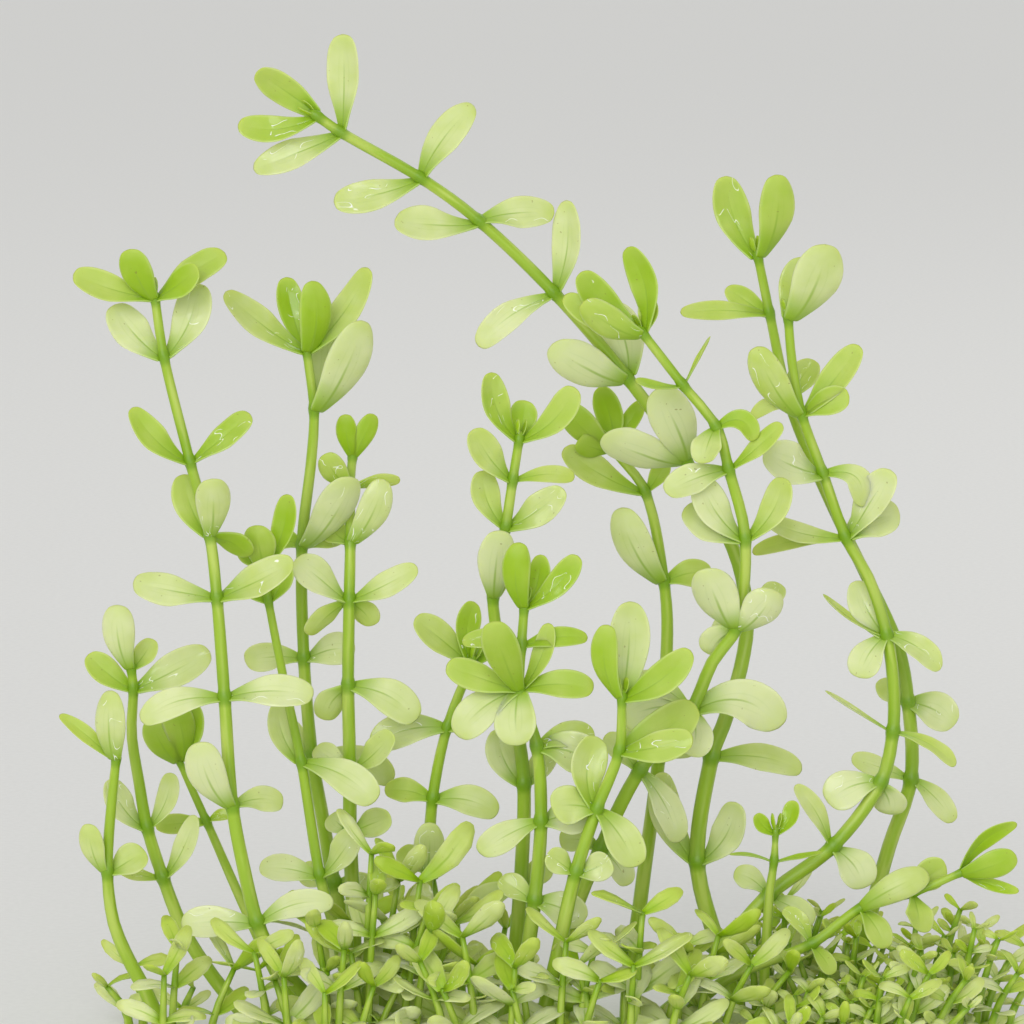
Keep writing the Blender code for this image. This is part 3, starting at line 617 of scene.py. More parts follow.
def press_channel(blade, columns):
    """Presses the midrib's channel into the blade and lifts its rim."""
    inner = 2 / columns
    if columns > 4:
        pick(blade, lambda x, y, z: 0.5 * inner < abs(x) / half_width(y) < 1.5 * inner)
        resize((CHANNEL_SHARE, 1, 1))
    pick(blade, lambda x, y, z: abs(x) < 0.01 * MM and y < CHANNEL_ENDS * BLADE_LENGTH)
    bpy.ops.transform.translate(value=(0, 0, -CHANNEL_DEPTH))
    first, last = FLAT_ENDS * BLADE_LENGTH, (1 - FLAT_ENDS) * BLADE_LENGTH
    pick(blade, lambda x, y, z: abs(x) > 0.99 * half_width(y) and first < y < last)
    bpy.ops.transform.translate(value=(0, 0, RIM_LIFT))
    done()


def thicken(blade, flesh, smooth):
    """Gives the blade its flesh, thinner at the rim, and rounds it."""
    solid = blade.modifiers.new("flesh", "SOLIDIFY")
    solid.thickness = flesh
    solid.offset = -1
    bpy.ops.object.modifier_apply(modifier=solid.name)
    under = -flesh / 2
    pick(blade, lambda x, y, z: (abs(x) > RIM * half_width(y) or y > LAST_ROW * BLADE_LENGTH) and z < under)
    bpy.ops.transform.translate(value=(0, 0, max(flesh - RIM_THICKNESS, 0)))
    face_outwards()
    if smooth:
        rounded = blade.modifiers.new("rounded", "SUBSURF")
        rounded.levels = rounded.render_levels = smooth
        bpy.ops.object.modifier_apply(modifier=rounded.name)
    bpy.ops.object.shade_smooth()


LEAF_STATIONS = (0, 0.1, 0.22, 0.36, 0.5, 0.62, 0.74, 0.85, LAST_ROW)
leaf_pattern = pattern_blade("leaf_pattern", 6, LEAF_STATIONS, 0.55 * MM, 1)
shoot_pattern = pattern_blade("shoot_leaf_pattern", 4, (0, 0.22, 0.48, 0.75, LAST_ROW), 0.45 * MM, 0)

# %% [markdown]
# ## Bending a leaf onto its joint
# A leaf starts inside the swelling of its joint, so that no gap shows, and ends where it was measured. One
# that spreads arches over, and one that stands up is hollow towards its stem. A Curve modifier could bend
# the copy, but it would twist it at will. Here each vertex is placed by its share of the length: on the
# arc, then to the side, then out of the face. A little unevenness, always the same for the same leaf, keeps
# them from looking stamped.

# %% Laying a leaf on its curve
SPREAD_BEND = 0.08
ERECT_BEND = -0.12
TWISTED_BY = 0.5
FACES_BACK_FROM = 0.3
ROOT_DEPTH = 0.35
LOWEST = 0.15 * MM
WIDTH_SEEN = 0.95
SPOON_TURNS_AT = 0.6
WAVE_SLANT = 1.5
THICKNESS_RANGE = (0.4, 1.2)
# The least and the most of each unevenness. They are drawn in this order.
UNEVENNESS = {"roll": (-0.25, 0.25), "spoon": (-0.35, 0.25), "sway": (-0.035, 0.035), "droop": (-0.07, 0.03),
              "cup": (-0.02, 0.12), "wave": (0, 0.06), "waves along": (7, 12)}


def arc_of(entry, place, run, radius):
    """The three points that a leaf's arc is drawn from, and where its upper side faces at first."""
    reach = entry["reach"] * MM
    out = unit(reach - run * reach.dot(run))
    root, tip = place + out * radius * ROOT_DEPTH, place + reach
    axis = unit(tip - root)
    upward = unit(run - axis * run.dot(axis))
    bend = entry["bend"]
    if bend is None:
        bend = SPREAD_BEND - (SPREAD_BEND - ERECT_BEND) * max(0, run.dot(axis))
    middle = (root + tip) / 2 + upward * np.linalg.norm(tip - root) * bend * 2
    return root, middle, tip, upward


def lay_leaf(pattern, name, entry, place, run, radius, draw, tone):
    """A copy of the pattern blade, bent from its joint to its tip, with its age and its own unevenness."""
    root, middle, tip, upward = arc_of(entry, place, run, radius)
    blade = copy_of(pattern, name)
    x, y, z = vertices_of(blade).T
    t = y / BLADE_LENGTH
    share = t[:, None]
    centre = root * (1 - share) ** 2 + middle * 2 * share * (1 - share) + tip * share ** 2
    way = unit((middle - root) * (1 - share) + (tip - middle) * share)
    turn = (entry["turn"] * (0.5 + 0.5 * np.clip(t / TWISTED_BY, 0, 1)))[:, None]
    facing = np.array((0.0, 1.0 if upward[1] > FACES_BACK_FROM else -1.0, 0.0))
    face = upward * (1 - turn) + facing * turn
    roll, spoon, sway, droop, cup, wave, waves_along = [draw.uniform(*span) for span in UNEVENNESS.values()]
    face = unit(face - way * (face * way).sum(axis=1, keepdims=True))
    side = np.cross(way, face)
    face, side = face + side * roll * share, side - face * roll * share
    long = np.linalg.norm(tip - root)
    across = x / (BLADE_WIDTH / 2) * (1 + spoon * (t - SPOON_TURNS_AT))
    wide = entry["width"] * WIDTH_SEEN * MM
    thick = float(np.clip(wide / BLADE_WIDTH, *THICKNESS_RANGE))
    curl = cup + wave * np.sin(t * waves_along + across * WAVE_SLANT)
    curl = curl * wide * across ** 2 * np.clip(t * 2, 0, 1)
    lift = (z * thick + droop * long * t ** 3 + curl)[:, None]
    sideways = (across * wide / 2 + sway * long * np.sin(t * math.pi))[:, None]
    places = centre + side * sideways + face * lift
    places[:, 2] = np.maximum(places[:, 2], LOWEST)
    move_vertices(blade, places)
    note(blade, "tone", np.full(len(x), tone))
    note(blade, "seed", np.full(len(x), draw.random()))
    return blade


print("a leaf starts", ROOT_DEPTH, "of the stem's radius off the stem's middle")

# %% [markdown]
# ## The stems
# A stem is a fleshy tube, thicker at the foot, a little swollen where a pair of leaves sits, and closed by
# a small bud. It could be a curve with a bevel, but a curve's radius can't follow the swellings closely
# without hundreds of points. So it is modelled straight, as a turner would: a circle, extruded and resized
# from ring to ring. Then it is laid along its curve, and cut off flat at the ground.

# %% A straight stem, ring by ring
RING_STEP = 2.2
JOINT_PROFILE = ((-1.5, 1.0), (-0.8, 1.04), (-0.3, 1.15), (0.25, 1.2), (0.7, 1.08), (1.2, 0.96))
TIP_PROFILE = JOINT_PROFILE[:4] + ((0.5, 1.05), (1.0, 0.7), (1.3, 0.3))
UNDER_GROUND = 2.5
CUT_WITHIN = 0.001 * MM
CLEAR_OF_JOINT = 2
STEM_SIDES = 14


def straight_stem(name, rings, sides):
    """A closed stem that stands straight up from the origin, from (height, radius) pairs."""
    select(None)
    bpy.ops.mesh.primitive_circle_add(vertices=sides, radius=rings[0][1], fill_type="NGON")
    stem = bpy.context.object
    stem.name = name
    edit()
    for (low, before), (high, after) in zip(rings, rings[1:]):
        bpy.ops.mesh.extrude_region_move(TRANSFORM_OT_translate={"value": (0, 0, high - low)})
        resize((after / before, after / before, 1), (0, 0, high))
    face_outwards()
    bpy.ops.object.shade_smooth()
    return stem


def stem_rings(marks, radii, leafy):
    """Where a stem's rings are and how thick it is there: even steps, and a swelling at every leafy joint."""
    def thick(far):
        return float(np.interp(far, marks, radii))

    clear = [marks[k] for k in leafy]
    plain = np.arange(0, marks[-1], RING_STEP * MM)
    rings = [(far, thick(far)) for far in plain if all(abs(far - c) > CLEAR_OF_JOINT * MM for c in clear)]
    for far, profile in [(c, JOINT_PROFILE) for c in clear[:-1]] + [(marks[-1], TIP_PROFILE)]:
        rings += [(far + up * MM, thick(far) * swell) for up, swell in profile]
    return sorted(ring for ring in rings if ring[0] >= 0)


def lay_along(stem, points):
    """Bends a straight stem onto a path, and keeps its straight shape for the streaks of its colour."""
    far, run, front, right = frames_along(points)
    straight = vertices_of(stem)
    note(stem, "straight", straight)

    def at(field):
        return np.stack([np.interp(straight[:, 2], far, field[:, c]) for c in range(3)], axis=1)

    move_vertices(stem, at(points) + at(front) * straight[:, :1] + at(right) * straight[:, 1:2])


def cut_at_ground(piece):
    """Cuts off what lies under the ground and closes the cut."""
    select(piece)
    edit()
    bpy.ops.mesh.bisect(plane_co=(0, 0, 0), plane_no=(0, 0, 1), clear_inner=True, use_fill=True,
                        threshold=CUT_WITHIN)
    done()


print("a leafy joint swells to", max(swell for up, swell in JOINT_PROFILE), "of the stem's thickness")

# %% [markdown]
# ### A whole stem
# The path runs on a little past both ends, under the ground for the cut and past the tip for the bud. Two
# values are kept for the colours: how near a joint is, where the stem is darkest, and how far it is from
# the joint below.

# %% A whole stem
BELOW_FIRST_JOINT = 4
ABOVE_LAST_JOINT = 8
JOINT_BAND = 1.1
PAST_TIP = 3


def stem_radius(thickness, share):
    """A stem's radius in metres at this share of the way from its foot to its tip."""
    return thickness * (FOOT_DIAMETER + (TOP_DIAMETER - FOOT_DIAMETER) * share) * MM / 2


def note_joints(stem, leafy_marks, start):
    """Writes how near each vertex is to a leafy joint, and its share of the way from the joint below it."""
    far = vertices_of(stem)[:, 2] - start
    beyond = leafy_marks[-1] + ABOVE_LAST_JOINT * MM
    marks = np.concatenate([[-BELOW_FIRST_JOINT * MM], leafy_marks, [beyond]])
    below = np.clip(np.searchsorted(marks, far, side="right") - 1, 0, len(marks) - 2)
    share = (far - marks[below]) / (marks[below + 1] - marks[below])
    gap = np.abs(far[:, None] - marks[None, :]).min(axis=1) / MM
    note(stem, "near_joint", np.exp(-(gap / JOINT_BAND) ** 4))
    note(stem, "between", np.clip(share, 0, 1))


def build_stem(name, joints, thickness):
    """Models one stem along its joints."""
    places, runs, path, marks = course(joints)
    leafy = [k for k, j in enumerate(joints) if j["leaves"]]
    last = len(places) - 1
    radii = [stem_radius(thickness, k / last) for k in range(last + 1)]
    under = UNDER_GROUND * MM
    rings = [(0, radii[0])] + [(far + under, radius) for far, radius in stem_rings(marks, radii, leafy)]
    stem = straight_stem(name, rings, STEM_SIDES)
    note_joints(stem, np.array([marks[k] for k in leafy]), under)
    down, up = places[0] - (0, 0, under), path[-1] + runs[-1] * PAST_TIP * MM
    lay_along(stem, np.vstack([down, path, up]))
    cut_at_ground(stem)
    return stem


stems = {name: build_stem(name + "_stalk", joints, SLIMNESS.get(name, 1.0)) for name, joints in STEMS.items()}
print(len(stems), "stems with", sum(len(s.data.polygons) for s in stems.values()), "faces")

# %% [markdown]
# ## The leaves on their joints
# The leaves of a stem change with age. The topmost are small and fresh green, and lower down they are
# larger and grow pale. Each stem's leaves become one piece, because on the real plant they come as one
# shoot. The largest leaves are solids of their own in the frame, numbered by size, so each of them is a
# piece of its own here too.

# %% How old each leaf is, and which leaves are pieces of their own
OWN_LEAVES = 19
AGE_BY_STEP = (0.02, 0.42, 0.55, 0.66, 0.75)
USUAL_WIDTH = 4.8
WIDE_LOOKS_OLDER = 0.1
AGE_VARIES = 0.14
every = [(name, entry) for name, joints in STEMS.items() for j in joints for entry in j["leaves"]]
every.sort(key=lambda found: -np.linalg.norm(found[1]["reach"]) * found[1]["width"])
own_names, numbered = {}, {}
for stem_name, entry in every[:OWN_LEAVES]:
    numbered[stem_name] = numbered.get(stem_name, 0) + 1
    own_names[id(entry)] = stem_name.replace("_stem", "") + f"_leaf_{numbered[stem_name]:02d}"


def tone_of(found, n, steps_down, draw):
    """How old the nth leaf of a joint looks: 0 is fresh green and 1 is pale."""
    if found["ages"]:
        return found["ages"][n]
    older = AGE_BY_STEP[min(steps_down, len(AGE_BY_STEP) - 1)]
    wider = found["leaves"][n]["width"] - USUAL_WIDTH
    return float(np.clip(older + WIDE_LOOKS_OLDER * wider + draw.uniform(-AGE_VARIES, AGE_VARIES), 0, 1))


print("leaves that are pieces of their own:", sorted(own_names.values()))

# %% [markdown]
# ### Laying them
# Two tiny leaves fold over the tip of each stem, because a shoot grows from there. Each stem has its own
# run of chance numbers, named after it, so that a change to one stem leaves the others as they are.

# %% Laying the leaves of every stem
BUD_REACH = 2.6
BUD_WIDTH = 1.4
BUD_OPENS = 0.5
BUD_BEND = -0.1
BUD_SIDEWAYS = (0.3, -0.6, 0.2)
BUD_ABOVE = 0.4
AGED_SHARE = (0.3, 1.7)
SHOOT_THICKNESS = 0.62


def bud_leaves(run):
    """The two youngest leaves, folded over the tip of a stem."""
    across = unit(np.cross(run, BUD_SIDEWAYS))
    sides = (BUD_OPENS, -BUD_OPENS)
    return [leaf(*(run * BUD_REACH + across * side), BUD_WIDTH, 0.0, BUD_BEND) for side in sides]


def lay_leaves(name, joints, thickness, pattern, draw, aged=0.0):
    """Lays the leaves of a stem, except its own pieces, which it returns by name beside the others."""
    places, runs, *_ = course(joints)
    last = len(places) - 1
    common, own = [], {}
    buds = bud_leaves(runs[-1]) if thickness > SHOOT_THICKNESS else []
    for k, j in enumerate(joints):
        for n, entry in enumerate(j["leaves"]):
            own_name = own_names.get(id(entry))
            tone = min(tone_of(j, n, last - k, draw) + aged * draw.uniform(*AGED_SHARE), 1.0)
            radius = stem_radius(thickness, k / last)
            piece_name = f"{own_name}_blade" if own_name else name + "_leaf"
            blade = lay_leaf(pattern, piece_name, entry, places[k], runs[k], radius, draw, tone)
            if own_name:
                own[own_name] = blade
            else:
                common.append(blade)
    tip = places[-1] + runs[-1] * BUD_ABOVE * MM
    for entry in buds:
        common.append(lay_leaf(shoot_pattern, name + "_bud", entry, tip, runs[-1], 0, draw, 0.0))
    return common, own


foliage, own_blades = {}, {}
for stem_name, joints in STEMS.items():
    draw = random.Random(stem_name)
    common, own = lay_leaves(stem_name, joints, SLIMNESS.get(stem_name, 1.0), leaf_pattern, draw)
    foliage[stem_name] = join(common, stem_name + "_leaves")
    own_blades |= own
print(len(foliage), "sets of leaves and", len(own_blades), "single leaves")

# %% [markdown]
# ## The mat
# The short shoots at the foot of a clump grow in bunches from the creeping stems. Particles could scatter
# them, but they can't be reused as solid parts. So each bunch is grown by a rule that follows nature: the
# first shoot is the one in the frame, and the others stand around it, each turned by the golden angle,
# lower and leaning outwards the farther out they are. The shoots on the right have smaller and denser
# leaves than the others, and on the left there are only a few.

# %% Growing a bunch of short shoots
GOLDEN_ANGLE = math.radians(137.5)
FINE_LEAVES_FROM = 30
THIN_UP_TO = -35
SHOOT_LEAF_SHAPE = 0.44
BUNCH_SPREAD = 7.5
MAT_FRONT = -24
MAT_LEFT = -60
# A bunch's number of shoots, the millimetres between their joints, and how much their leaves' size varies.
FINE_BUNCH = (11, 3.2, (0.65, 1.05))
FULL_BUNCH = (6, 6.0, (0.95, 1.4))
THIN_BUNCH = (3, 6.0, (0.95, 1.4))
OUTER_LOWER = 0.3
OUTER_LEANS = (4, 3)
HEIGHT_VARIES = (0.8, 1.05)
TURN_BY_SHOOT = 50
LEAF_TURN_VARIES = (-30, 30)
LEAF_SIZE_VARIES = (0.65, 1.05)
TOP_LEAF_SMALLER = 0.2
TOP_LEAF_RISES = 0.6
LEAF_RISE_VARIES = (-0.4, 0.35)
LEAF_WIDTH_VARIES = (0.85, 1.1)
FACES_FRONT = (0.1, 0.9)
SHOOT_AGED = 0.45
SHOOT_SIDES = 7


def shoot_joints(foot, height, lean, length, turn, spacing, draw):
    """The joints of one short shoot, each pair of leaves a quarter turn from the one below."""
    count = max(2, round(height / spacing))
    joints = [joint(foot[0], foot[1], 0)]
    for k in range(1, count + 1):
        share = k / count
        leaves = []
        for half in (0, 180):
            way = math.radians(turn + 90 * k + half + draw.uniform(*LEAF_TURN_VARIES))
            size = length * draw.uniform(*LEAF_SIZE_VARIES) * (1 - TOP_LEAF_SMALLER * share)
            rise = size * (TOP_LEAF_RISES * share + draw.uniform(*LEAF_RISE_VARIES))
            reach = (size * math.cos(way), size * math.sin(way), rise)
            width = size * SHOOT_LEAF_SHAPE * draw.uniform(*LEAF_WIDTH_VARIES)
            leaves.append(leaf(*reach, width, draw.uniform(*FACES_FRONT)))
        x, depth = foot[0] + lean[0] * share * share, foot[1] + lean[1] * share * share
        joints.append(joint(x, depth, height * share + depth * math.sin(VIEW_TILT), *leaves))
    return joints


def shoot_stalk(name, joints):
    """The thin stem of a short shoot."""
    *_, path, marks = course(joints)
    foot, top = stem_radius(SHOOT_THICKNESS, 0), stem_radius(SHOOT_THICKNESS, 1)
    heights = np.linspace(0, marks[-1], 2 * len(marks))
    rings = [(float(far), float(foot + (top - foot) * far / marks[-1])) for far in heights]
    stalk = straight_stem(name, rings, SHOOT_SIDES)
    note_joints(stalk, marks[1:], 0)
    lay_along(stalk, path)
    move_vertices(stalk, np.maximum(vertices_of(stalk), (-np.inf, -np.inf, 0)))
    return stalk


def bunch(number, foot, height, lean, length, turn):
    """The stalks and the leaves of one bunch of short shoots."""
    name = f"short_shoot_{number:02d}"
    draw = random.Random(f"bunch {number}")
    kind = THIN_BUNCH if foot[0] < THIN_UP_TO else FULL_BUNCH
    count, spacing, sizes = FINE_BUNCH if foot[0] > FINE_LEAVES_FROM else kind
    stalks, blades = [], []
    for n in range(count):
        out = math.sqrt(n / count)
        way = n * GOLDEN_ANGLE + number
        side = np.array((math.cos(way), math.sin(way)))
        place = np.array(foot) + side * out * BUNCH_SPREAD
        place = np.maximum(place, (MAT_LEFT, MAT_FRONT))
        tall = height * (1 - OUTER_LOWER * out) * draw.uniform(*HEIGHT_VARIES) if n else height
        tilt = (lean + side[0] * out * OUTER_LEANS[0], side[1] * out * OUTER_LEANS[1])
        size = length * draw.uniform(*sizes)
        joints = shoot_joints(place, tall, tilt, size, turn + n * TURN_BY_SHOOT, spacing, draw)
        stalks.append(shoot_stalk(name + "_stalk", joints))
        blades += lay_leaves(name, joints, SHOOT_THICKNESS, shoot_pattern, draw, SHOOT_AGED)[0]
    return join(stalks, name + "_stalks"), join(blades, name + "_leaves")


mat = {f"short_shoot_{n:02d}": bunch(n, *shoot) for n, shoot in enumerate(SHORT_SHOOTS, 1)}
print("the mat has", sum(len(p.data.polygons) for pair in mat.values() for p in pair), "faces")

# %% [markdown]
# ## The creeping stems
# They are thicker than the others, lie on the ground, and were cut off with it, so that half of them is
# left. They are modelled as the upright stems are and cut by the same plane.

# %% The creeping stems
CREEPER_DIAMETER = 2.6
CREEPER_JOINTS = 9


def build_creeper(name, points):
    """A round stem along the ground, cut off at the ground."""
    places = np.array([((x - CENTRE_X) * MM, (y - CENTRE_Y) * MM, 0) for x, y in points])
    path, marks = smooth_path(places, directions(places))
    radius = CREEPER_DIAMETER * MM / 2
    swellings = np.arange(CREEPER_JOINTS / 2, marks[-1] / MM, CREEPER_JOINTS) * MM
    rings = [(0, radius), (float(marks[-1]), radius)]
    for far in swellings:
        rings += [(float(far + up * MM), radius * (1 + (swell - 1) / 2)) for up, swell in JOINT_PROFILE]
    creeper = straight_stem(name, sorted(ring for ring in rings if ring[0] <= marks[-1]), STEM_SIDES)
    note_joints(creeper, swellings, 0)
    lay_along(creeper, path)
    cut_at_ground(creeper)
    return creeper


creepers = {name: build_creeper(name + "_fine", points) for name, points in CREEPERS.items()}
print(len(creepers), "creeping stems")

# %% [markdown]
# ## Colours
# Every finish is made of nodes. The attributes that were kept while modelling say where on its leaf or stem
# a point lies, so that the pale margin, the veins and the green at the foot follow each blade. Patterns
# used by more than one finish are node groups. The colours were judged against the photograph, then
# shifted together until large parts of the picture came out as light and as green as in the photograph.

# %% Small helpers for node trees
def srgb(red, green, blue):
    """A display colour from 0 to 255 as the linear colour that the shader takes."""
    shares = [c / 255 for c in (red, green, blue)]
    return (*[s / 12.92 if s <= 0.04045 else ((s + 0.055) / 1.055) ** 2.4 for s in shares], 1)


def feed(tree, node, inputs):
    """Gives each input of a node, by its name or number, a value or the socket it comes from."""
    for key, value in inputs.items():
        if isinstance(value, bpy.types.NodeSocket):
            tree.links.new(value, node.inputs[key])
        else:
            node.inputs[key].default_value = value


def put(tree, kind, inputs, **settings):
    """Adds a node with its inputs and settings."""
    made = tree.nodes.new("ShaderNode" + kind)
    for key, value in settings.items():
        setattr(made, key, value)
    feed(tree, made, inputs)
    return made


def kept(tree, name, output="Fac"):
    """What the modelling kept in an attribute of this name."""
    return put(tree, "Attribute", {}, attribute_name=name).outputs[output]


def calc(tree, operation, *values):
    """The result of one sum of numbers or sockets."""
    return put(tree, "Math", dict(enumerate(values)), operation=operation).outputs[0]


def calc_vector(tree, operation, *values):
    """The result of one sum of vectors or sockets."""
    return put(tree, "VectorMath", dict(enumerate(values)), operation=operation).outputs[0]


def ease(tree, value, low, high, start=0.0, end=1.0):
    """A smooth change from start to end while the value goes from low to high."""
    facts = {"Value": value, "From Min": low, "From Max": high, "To Min": start, "To Max": end}
    return put(tree, "MapRange", facts, interpolation_type="SMOOTHSTEP").outputs[0]


def mix(tree, share, first, second):
    """The first colour going over to the second."""
    return put(tree, "Mix", {0: share, 6: first, 7: second}, data_type="RGBA").outputs[2]


def noise(tree, scale, detail=2.0, where=None):
    """A soft pattern in the piece's own space, or where another vector says."""
    if where is None:
        where = put(tree, "TexCoord", {}).outputs["Object"]
    return put(tree, "TexNoise", {"Vector": where, "Scale": scale, "Detail": detail}).outputs[0]


def new_group(name, entry, *results):
    """A node group with one number coming in. Gives the group, that number and the output node."""
    made = bpy.data.node_groups.new(name, "ShaderNodeTree")
    made.interface.new_socket(entry, in_out="INPUT", socket_type="NodeSocketFloat")
    for label, kind in results:
        made.interface.new_socket(label, in_out="OUTPUT", socket_type="NodeSocket" + kind)
    return made, made.nodes.new("NodeGroupInput").outputs[0], made.nodes.new("NodeGroupOutput")


print("mid green in linear colour:", [round(c, 3) for c in srgb(150, 195, 65)])

# %% [markdown]
# ### The markings of a leaf
# A young leaf is fresh green all over. With age it grows pale from the tip down, and stays green at its
# foot and along the midrib. Two thin veins bow out beside the midrib, the margin is a little lighter, and
# old leaves have brown specks. The age comes from the leaf, with a slow cloud of noise added so that no
# leaf is one even colour.

# %% The markings of a leaf
PALE = srgb(212, 220, 166)
MIDDLE = srgb(182, 201, 96)
FRESH = srgb(154, 188, 34)
FOOT_GREEN = srgb(142, 180, 30)
VEIN_GREEN = srgb(142, 176, 52)
MARGIN = srgb(226, 234, 190)
SPECK = srgb(128, 120, 52)
CLOUD_SCALE = 260
CLOUD_STRENGTH = 0.5
SPECK_SCALE = 2600
CELL_SCALE = 3200
CELL_HEIGHT = 0.25
VEIN_HEIGHT = 0.45
MIDDLE_AT = 0.42
PALE_AT = 0.9
# Where a change begins and ends, as shares of the blade, and its strength at both ends.
TIP_CHANGES = (0.72, 1.0, 0.0, 0.4)
MARGIN_CHANGES = (0.8, 1.0, 0.0, 0.2)
SPECKS = (0.83, 0.86, 0.0, 0.5)
RIB_ENDS = (0.35, 0.8, 1.0, 0.0)
SIDE_VEIN = (0.0, 0.05, 0.09, 0.0)
SIDE_VEINS_END = (0.65, 0.9, 1.0, 0.0)
# How far the foot's green and the midrib reach, and how much less on an old leaf or towards the tip.
FOOT_REACH = (0.62, 0.22)
RIB_REACH = (0.26, 0.22)
SIDE_VEIN_OUT = 0.26
SIDE_VEIN_BOWS = 0.16


def lessened(tree, reach, value):
    """How far something reaches where it gets less as the value grows."""
    return calc(tree, "SUBTRACT", reach[0], calc(tree, "MULTIPLY", value, reach[1]))


def aged_green(tree, tone, along):
    """The colour of the flesh between the veins."""
    cloud = calc(tree, "MULTIPLY", calc(tree, "SUBTRACT", noise(tree, CLOUD_SCALE), 0.5), CLOUD_STRENGTH)
    body = put(tree, "ValToRGB", {0: calc(tree, "ADD", tone, cloud)})
    band = body.color_ramp
    band.elements[0].color = FRESH
    band.elements[1].position, band.elements[1].color = PALE_AT, PALE
    band.elements.new(MIDDLE_AT).color = MIDDLE
    tip = ease(tree, along, *TIP_CHANGES)
    foot_ends = lessened(tree, FOOT_REACH, tone)
    foot = ease(tree, along, 0.0, foot_ends, 0.95, 0.0)
    return mix(tree, foot, mix(tree, tip, body.outputs[0], MIDDLE), FOOT_GREEN)


def vein_mask(tree, across, along):
    """Where the midrib and the two bowed veins beside it are. All fade out towards the tip."""
    rib = ease(tree, across, 0.01, lessened(tree, RIB_REACH, along), 0.75, 0.0)
    rib = calc(tree, "MULTIPLY", rib, ease(tree, along, *RIB_ENDS))
    bow = calc(tree, "MULTIPLY", calc(tree, "SINE", calc(tree, "MULTIPLY", along, 3.1)), SIDE_VEIN_BOWS)
    off_line = calc(tree, "SUBTRACT", calc(tree, "SUBTRACT", across, bow), SIDE_VEIN_OUT)
    side = ease(tree, calc(tree, "ABSOLUTE", off_line), *SIDE_VEIN)
    side = calc(tree, "MULTIPLY", side, ease(tree, along, *SIDE_VEINS_END))
    return calc(tree, "MAXIMUM", rib, side)


def leaf_markings():
    """From a leaf's age: its colour with veins, margin and specks, and how high the veins lie."""
    tree, tone, result = new_group("leaf markings", "Tone", ("Color", "Color"), ("Height", "Float"))
    parts = put(tree, "SeparateXYZ", {0: kept(tree, "blade", "Vector")})
    across, along = calc(tree, "ABSOLUTE", parts.outputs[0]), parts.outputs[1]
    veins = vein_mask(tree, across, along)
    colour = mix(tree, veins, aged_green(tree, tone, along), VEIN_GREEN)
    colour = mix(tree, ease(tree, across, *MARGIN_CHANGES), colour, MARGIN)
    colour = mix(tree, ease(tree, noise(tree, SPECK_SCALE, 0.0), *SPECKS), colour, SPECK)
    cells = calc(tree, "MULTIPLY", noise(tree, CELL_SCALE, 1.0), CELL_HEIGHT)
    height = calc(tree, "SUBTRACT", cells, calc(tree, "MULTIPLY", veins, VEIN_HEIGHT))
    feed(tree, result, {"Color": colour, "Height": height})
    return tree


MARKINGS = leaf_markings()
print("node groups:", [g.name for g in bpy.data.node_groups])

# %% [markdown]
# ### The wet gloss
# The plant grows in the wet, and about a third of its leaves shine in places. The thin bright lines where
# the gloss ends are painted highlight, white mixed into the colour. No water is modelled. One slow noise over
# the blade says where the gloss is, its edge is where that noise crosses one level, and a second noise breaks
# the edge into short strokes.

# %% Where a leaf shines, and where highlight is painted
GLOSS_LEVEL = 0.56
GLOSSY_FROM_SEED = 0.68
SOFT_EDGE = 0.04
STROKE = (0.002, 0.008, 1.0, 0.0)
STROKES_BREAK = (0.5, 0.56)
SHORT_OF_RIM = (0.7, 0.85, 1.0, 0.0)
PATCH_SCALE = 1.7
BREAK_SCALE = 3.4
SEEDS_APART = 60.0
STRETCH = (0.55, 1.3, 0.0)
SHIFT = (9.0, 4.0, 2.0)


def gloss_and_painted_highlight():
    """From a leaf's own number: where it is glossy, and the bright strokes at the edge of that, which are
    painted highlight.
    """
    tree, seed, result = new_group("gloss and painted highlight", "Seed", ("Mask", "Float"), ("Painted Highlight", "Float"))
    blade = kept(tree, "blade", "Vector")
    apart = put(tree, "CombineXYZ", {2: calc(tree, "MULTIPLY", seed, SEEDS_APART)}).outputs[0]
    place = calc_vector(tree, "ADD", calc_vector(tree, "MULTIPLY", blade, STRETCH), apart)
    level = noise(tree, PATCH_SCALE, 1.0, place)
    glossy = ease(tree, seed, GLOSSY_FROM_SEED, GLOSSY_FROM_SEED + SOFT_EDGE)
    inside = ease(tree, level, GLOSS_LEVEL, GLOSS_LEVEL + SOFT_EDGE)
    edge = ease(tree, calc(tree, "ABSOLUTE", calc(tree, "SUBTRACT", level, GLOSS_LEVEL)), *STROKE)
    broken = noise(tree, BREAK_SCALE, 1.0, calc_vector(tree, "ADD", place, SHIFT))
    broken = ease(tree, broken, *STROKES_BREAK)
    across = calc(tree, "ABSOLUTE", put(tree, "SeparateXYZ", {0: blade}).outputs[0])
    inner = ease(tree, across, *SHORT_OF_RIM)
    # The strokes are painted highlight: the finish mixes them into the leaf's colour as near white.
    strokes = calc(tree, "MULTIPLY", calc(tree, "MULTIPLY", edge, broken), inner)
    feed(tree, result, {"Mask": calc(tree, "MULTIPLY", inside, glossy)})
    feed(tree, result, {"Painted Highlight": calc(tree, "MULTIPLY", strokes, glossy)})
    return tree


GLOSS_AND_PAINTED_HIGHLIGHT = gloss_and_painted_highlight()
print("node groups:", [g.name for g in bpy.data.node_groups])

# %% [markdown]
# ### The finish of the leaves
# The mat's leaves are young and small, and they have a finish of their own: a little brighter, which is
# painted light that lifts the shade among the short shoots, and with weaker painted highlight strokes. In
# both a part of the light goes into the flesh and comes out beside where it went in, which makes a thin leaf
# glow.

